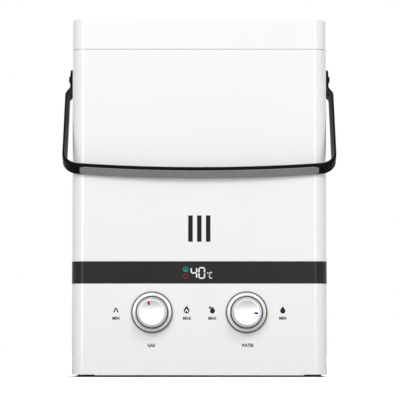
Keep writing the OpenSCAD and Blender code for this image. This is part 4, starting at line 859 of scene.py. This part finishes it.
# ---- Valves and their linkage ----
# A die-cast gas valve with a zinc plated solenoid stands beside a hot-pressed brass water
# valve. The water valve's diaphragm pushes a rod that opens the gas and trips a switch.
dress(skinned("die_cast_aluminium", rgb(0.62, 0.63, 0.64), rgb(0.52, 0.53, 0.54), (0.5, 0.16),
              0.7 * mm, 18 * mm, 0.03 * mm, 0.5 * mm, rgb(0.75, 0.75, 0.76), 0.5,
              {"Metallic": 1.0}), "gas_valve")
pressed_brass = skinned(
    "pressed_brass", brass_bright, rgb(0.60, 0.42, 0.20), (0.42, 0.16), 0.6 * mm, 22 * mm,
    0.025 * mm, 0.6 * mm, rgb(0.86, 0.72, 0.42), 0.5, {"Metallic": 1.0})
dress(pressed_brass, "water_valve", "diaphragm_housing")
dress(galvanised("zinc_plate", rgb(0.70, 0.70, 0.69), rgb(0.55, 0.54, 0.50), 2.5 * mm),
      "gas_solenoid", "gas_pipe", "gas_riser", "gas_manifold")
dress(drawn("linkage_zinc", rgb(0.70, 0.70, 0.70), rgb(0.58, 0.58, 0.58), (0.25, 0.15),
            (40.0, 2000.0, 2000.0), 0.003 * mm, 0.3 * mm), "linkage_rod")
black_moulding = skinned(
    "black_moulding", rgb(0.04, 0.04, 0.045), rgb(0.052, 0.052, 0.056), (0.55, 0.14), 0.5 * mm,
    25 * mm, 0.02 * mm, 0.5 * mm, rgb(0.12, 0.12, 0.125), 0.3)
dress(black_moulding, "microswitch", "overheat_cutout")


# ---- Burner, heat exchanger and flue ----
# Folded stainless blades burn the gas in a zinc coated housing. Above it the exchanger is all
# copper: a jacket with a coil round it, thin fins and tubes. A zinc hood leads to the grille.
heat_marks, takes, gives = effect(
    "heat_marks", ["Colour", "Hot colour", "Low", "High"], ["Colour"])
place = step(heat_marks, "TexCoord", {})["Object"]
height = step(heat_marks, "SeparateXYZ", {0: place})[2]
wander = step(heat_marks, "TexNoise", {"Vector": place, "Scale": 28.0, "Detail": 3.0})[0]
shaken = step(heat_marks, "Math", {0: wander, 1: 30 * mm, 2: height}, operation="MULTIPLY_ADD")[0]
share = step(heat_marks, "MapRange", {
    "Value": shaken, "From Min": takes["Low"], "From Max": takes["High"]})[0]
feed(heat_marks, gives["Colour"], tinted(
    heat_marks, share, takes["Colour"], takes["Hot colour"]))


def heated(name, colour, second, hot, span, stretch):
    """A drawn metal that heat has coloured between two heights."""
    material, tree, shader = finish(name, {"Metallic": 1.0})
    edges = layer(tree, soft_edges, {"Radius": 0.3 * mm})
    metal = layer(tree, drawn_lines, {
        "Colour": colour, "Second colour": second, "Roughness": 0.34, "Spread": 0.2,
        "Stretch": stretch, "Depth": 0.006 * mm, "Normal": edges["Normal"]})
    marks = layer(tree, heat_marks, {
        "Colour": metal["Colour"], "Hot colour": hot, "Low": span[0], "High": span[1]})
    feed(tree, shader.inputs["Base Color"], marks["Colour"])
    feed(tree, shader.inputs["Roughness"], metal["Roughness"])
    feed(tree, shader.inputs["Normal"], metal["Normal"])
    return material


blade_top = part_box("burner_blades")[1].z
jacket_low, jacket_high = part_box("exchanger_jacket")
dress(heated("blade_stainless", rgb(0.45, 0.44, 0.43), rgb(0.36, 0.34, 0.32),
             rgb(0.20, 0.16, 0.22), (blade_top - 12 * mm, blade_top + 15 * mm),
             (900.0, 60.0, 900.0)), "burner_blades")
dress(heated("jacket_copper", rgb(0.72, 0.38, 0.25), rgb(0.55, 0.27, 0.17),
             rgb(0.36, 0.16, 0.12), (jacket_high.z + 10 * mm, jacket_low.z + 20 * mm),
             (60.0, 60.0, 700.0)), "exchanger_jacket", "exchanger_fins", "exchanger_tubes")
dress(drawn("tube_copper", rgb(0.74, 0.40, 0.27), rgb(0.58, 0.29, 0.18), (0.3, 0.18),
            (300.0, 300.0, 300.0), 0.004 * mm, 0.2 * mm),
      "exchanger_coil", "cold_pipe", "cold_riser", "hot_pipe")
dress(zinc_sheet, "burner_housing", "flue_hood", "chamber_brackets")


# ---- Ignition ----
# Two electrodes in glazed ceramic stand over the blades, and a small potted box makes the spark.
dress(skinned("glazed_ceramic", rgb(0.92, 0.91, 0.87), rgb(0.88, 0.86, 0.81), (0.14, 0.08),
              1.2 * mm, 9 * mm, 0.01 * mm, 0.3 * mm, None, 0.0,
              {"Coat Weight": 0.6, "Coat Roughness": 0.05}), "electrodes")
dress(skinned("white_moulding", rgb(0.85, 0.85, 0.82), rgb(0.80, 0.80, 0.77), (0.5, 0.12),
              0.5 * mm, 25 * mm, 0.02 * mm, 0.5 * mm), "igniter_box")


# ---- Battery compartment ----
# A black moulded tray hangs behind the back plate, with a lid that hinges at the top. Two plain
# steel cells lie in it between nickel plated springs.
dress(black_moulding, "battery_box", "battery_door", "door_hinge")
dress(drawn("cell_jacket", rgb(0.16, 0.17, 0.19), rgb(0.14, 0.15, 0.17), (0.35, 0.1),
            (1500.0, 1500.0, 80.0), 0.003 * mm, 0.4 * mm, {"Coat Weight": 0.4}), "battery_cells")
dress(drawn("spring_nickel", rgb(0.72, 0.72, 0.72), rgb(0.6, 0.6, 0.58), (0.22, 0.12),
            (700.0, 700.0, 700.0), 0.003 * mm, 0.2 * mm), "battery_contacts")


# ---- Studio ----
# A wide white floor and a soft white surround. Two large softboxes hang above and in front and
# one behind, and a tall strip lamp on each side draws the bright lines down the casing's corners.
def shown_to_lens(tree):
    """1 for rays that come from the camera, a mirror surface or glass, and 0 for the rest."""
    rays = step(tree, "LightPath", {})
    shiny = step(tree, "Math", {0: rays["Is Glossy Ray"], 1: rays["Is Transmission Ray"]},
                 operation="MAXIMUM")[0]
    return step(tree, "Math", {0: rays["Is Camera Ray"], 1: shiny}, operation="MAXIMUM")[0]


surround_level = 0.36
world = bpy.data.worlds.new("white_surround")
bpy.context.scene.world = world
world.use_nodes = True
tree = world.node_tree
tree.nodes.clear()
lit_side = step(tree, "Background", {"Color": rgb(1, 1, 1), "Strength": surround_level})[0]
seen_side = step(tree, "Background", {"Color": rgb(1, 1, 1), "Strength": 1.0})[0]
either = step(tree, "MixShader", {0: shown_to_lens(tree), 1: lit_side, 2: seen_side})[0]
tree.links.new(either, tree.nodes.new("ShaderNodeOutputWorld").inputs["Surface"])

floor_half = 9.0
floor_mesh = bpy.data.meshes.new("studio_floor")
floor_mesh.from_pydata([(-floor_half, -floor_half, 0), (floor_half, -floor_half, 0),
                        (floor_half, floor_half, 0), (-floor_half, floor_half, 0)], [],
                       [(0, 1, 2, 3)])
floor = bpy.data.objects.new("studio_floor", floor_mesh)
bpy.context.scene.collection.objects.link(floor)
paper, tree, _ = finish("studio_paper", {})
lens = step(tree, "LightPath", {})["Is Camera Ray"]
place = step(tree, "TexCoord", {})["Object"]
away = step(tree, "VectorMath", {0: place}, operation="LENGTH")["Value"]
near_reach, far_reach = 0.5, 4.0
near_tone, far_tone, light_tone = rgb(1.65, 1.65, 1.65), rgb(3.2, 3.2, 3.2), rgb(0.62, 0.62, 0.62)
far = step(tree, "MapRange", {"Value": away, "From Min": near_reach, "From Max": far_reach})[0]
seen_tone = tinted(tree, far, near_tone, far_tone)
paper_tone = tinted(tree, lens, light_tone, seen_tone)
tree.links.new(step(tree, "BsdfDiffuse", {"Color": paper_tone})[0],
               tree.nodes["Material Output"].inputs["Surface"])
floor_mesh.materials.append(paper)


def softbox(name, place, target, width, height, level):
    """An area lamp that faces target, whose face has this brightness."""
    lamp = bpy.data.lights.new(name, "AREA")
    lamp.shape, lamp.size, lamp.size_y = "RECTANGLE", width, height
    lamp.energy = level * math.pi * width * height
    holder = bpy.data.objects.new(name, lamp)
    holder.location = place
    aim = Vector(target) - Vector(place)
    holder.rotation_euler = aim.to_track_quat("-Z", "Y").to_euler()
    holder.visible_camera = False
    bpy.context.scene.collection.objects.link(holder)


middle = (0, 0, 0.22)
softbox("key_softbox", (0.95, -2.7, 2.1), (0, 0, 0.05), 1.0, 1.0, 7.0)
softbox("fill_softbox", (-0.7, -3.2, 1.75), (0, 0, 0.1), 1.2, 1.2, 7.3)
softbox("left_strip", (-1.0, -2.5, 0.42), middle, 0.50, 1.2, 3.8)
softbox("right_strip", (0.66, -2.6, 0.42), middle, 0.26, 1.2, 5.5)
softbox("back_softbox", (0.6, 2.8, 1.8), middle, 1.6, 1.6, 5.0)

camera_x, camera_distance, camera_height, camera_tilt = 0.81 * mm, 2.775, 43.4 * mm, 3.623
camera_data = bpy.data.cameras.new("photo_camera")
camera_data.sensor_width = 36
camera_data.lens = 200.55
camera_data.clip_end = 100
camera = bpy.data.objects.new("photo_camera", camera_data)
camera.location = (camera_x, -camera_distance, camera_height)
camera.rotation_euler = (math.radians(90 + camera_tilt), 0, 0)
bpy.context.scene.collection.objects.link(camera)
bpy.context.scene.camera = camera
bpy.context.scene.view_settings.view_transform = "Standard"
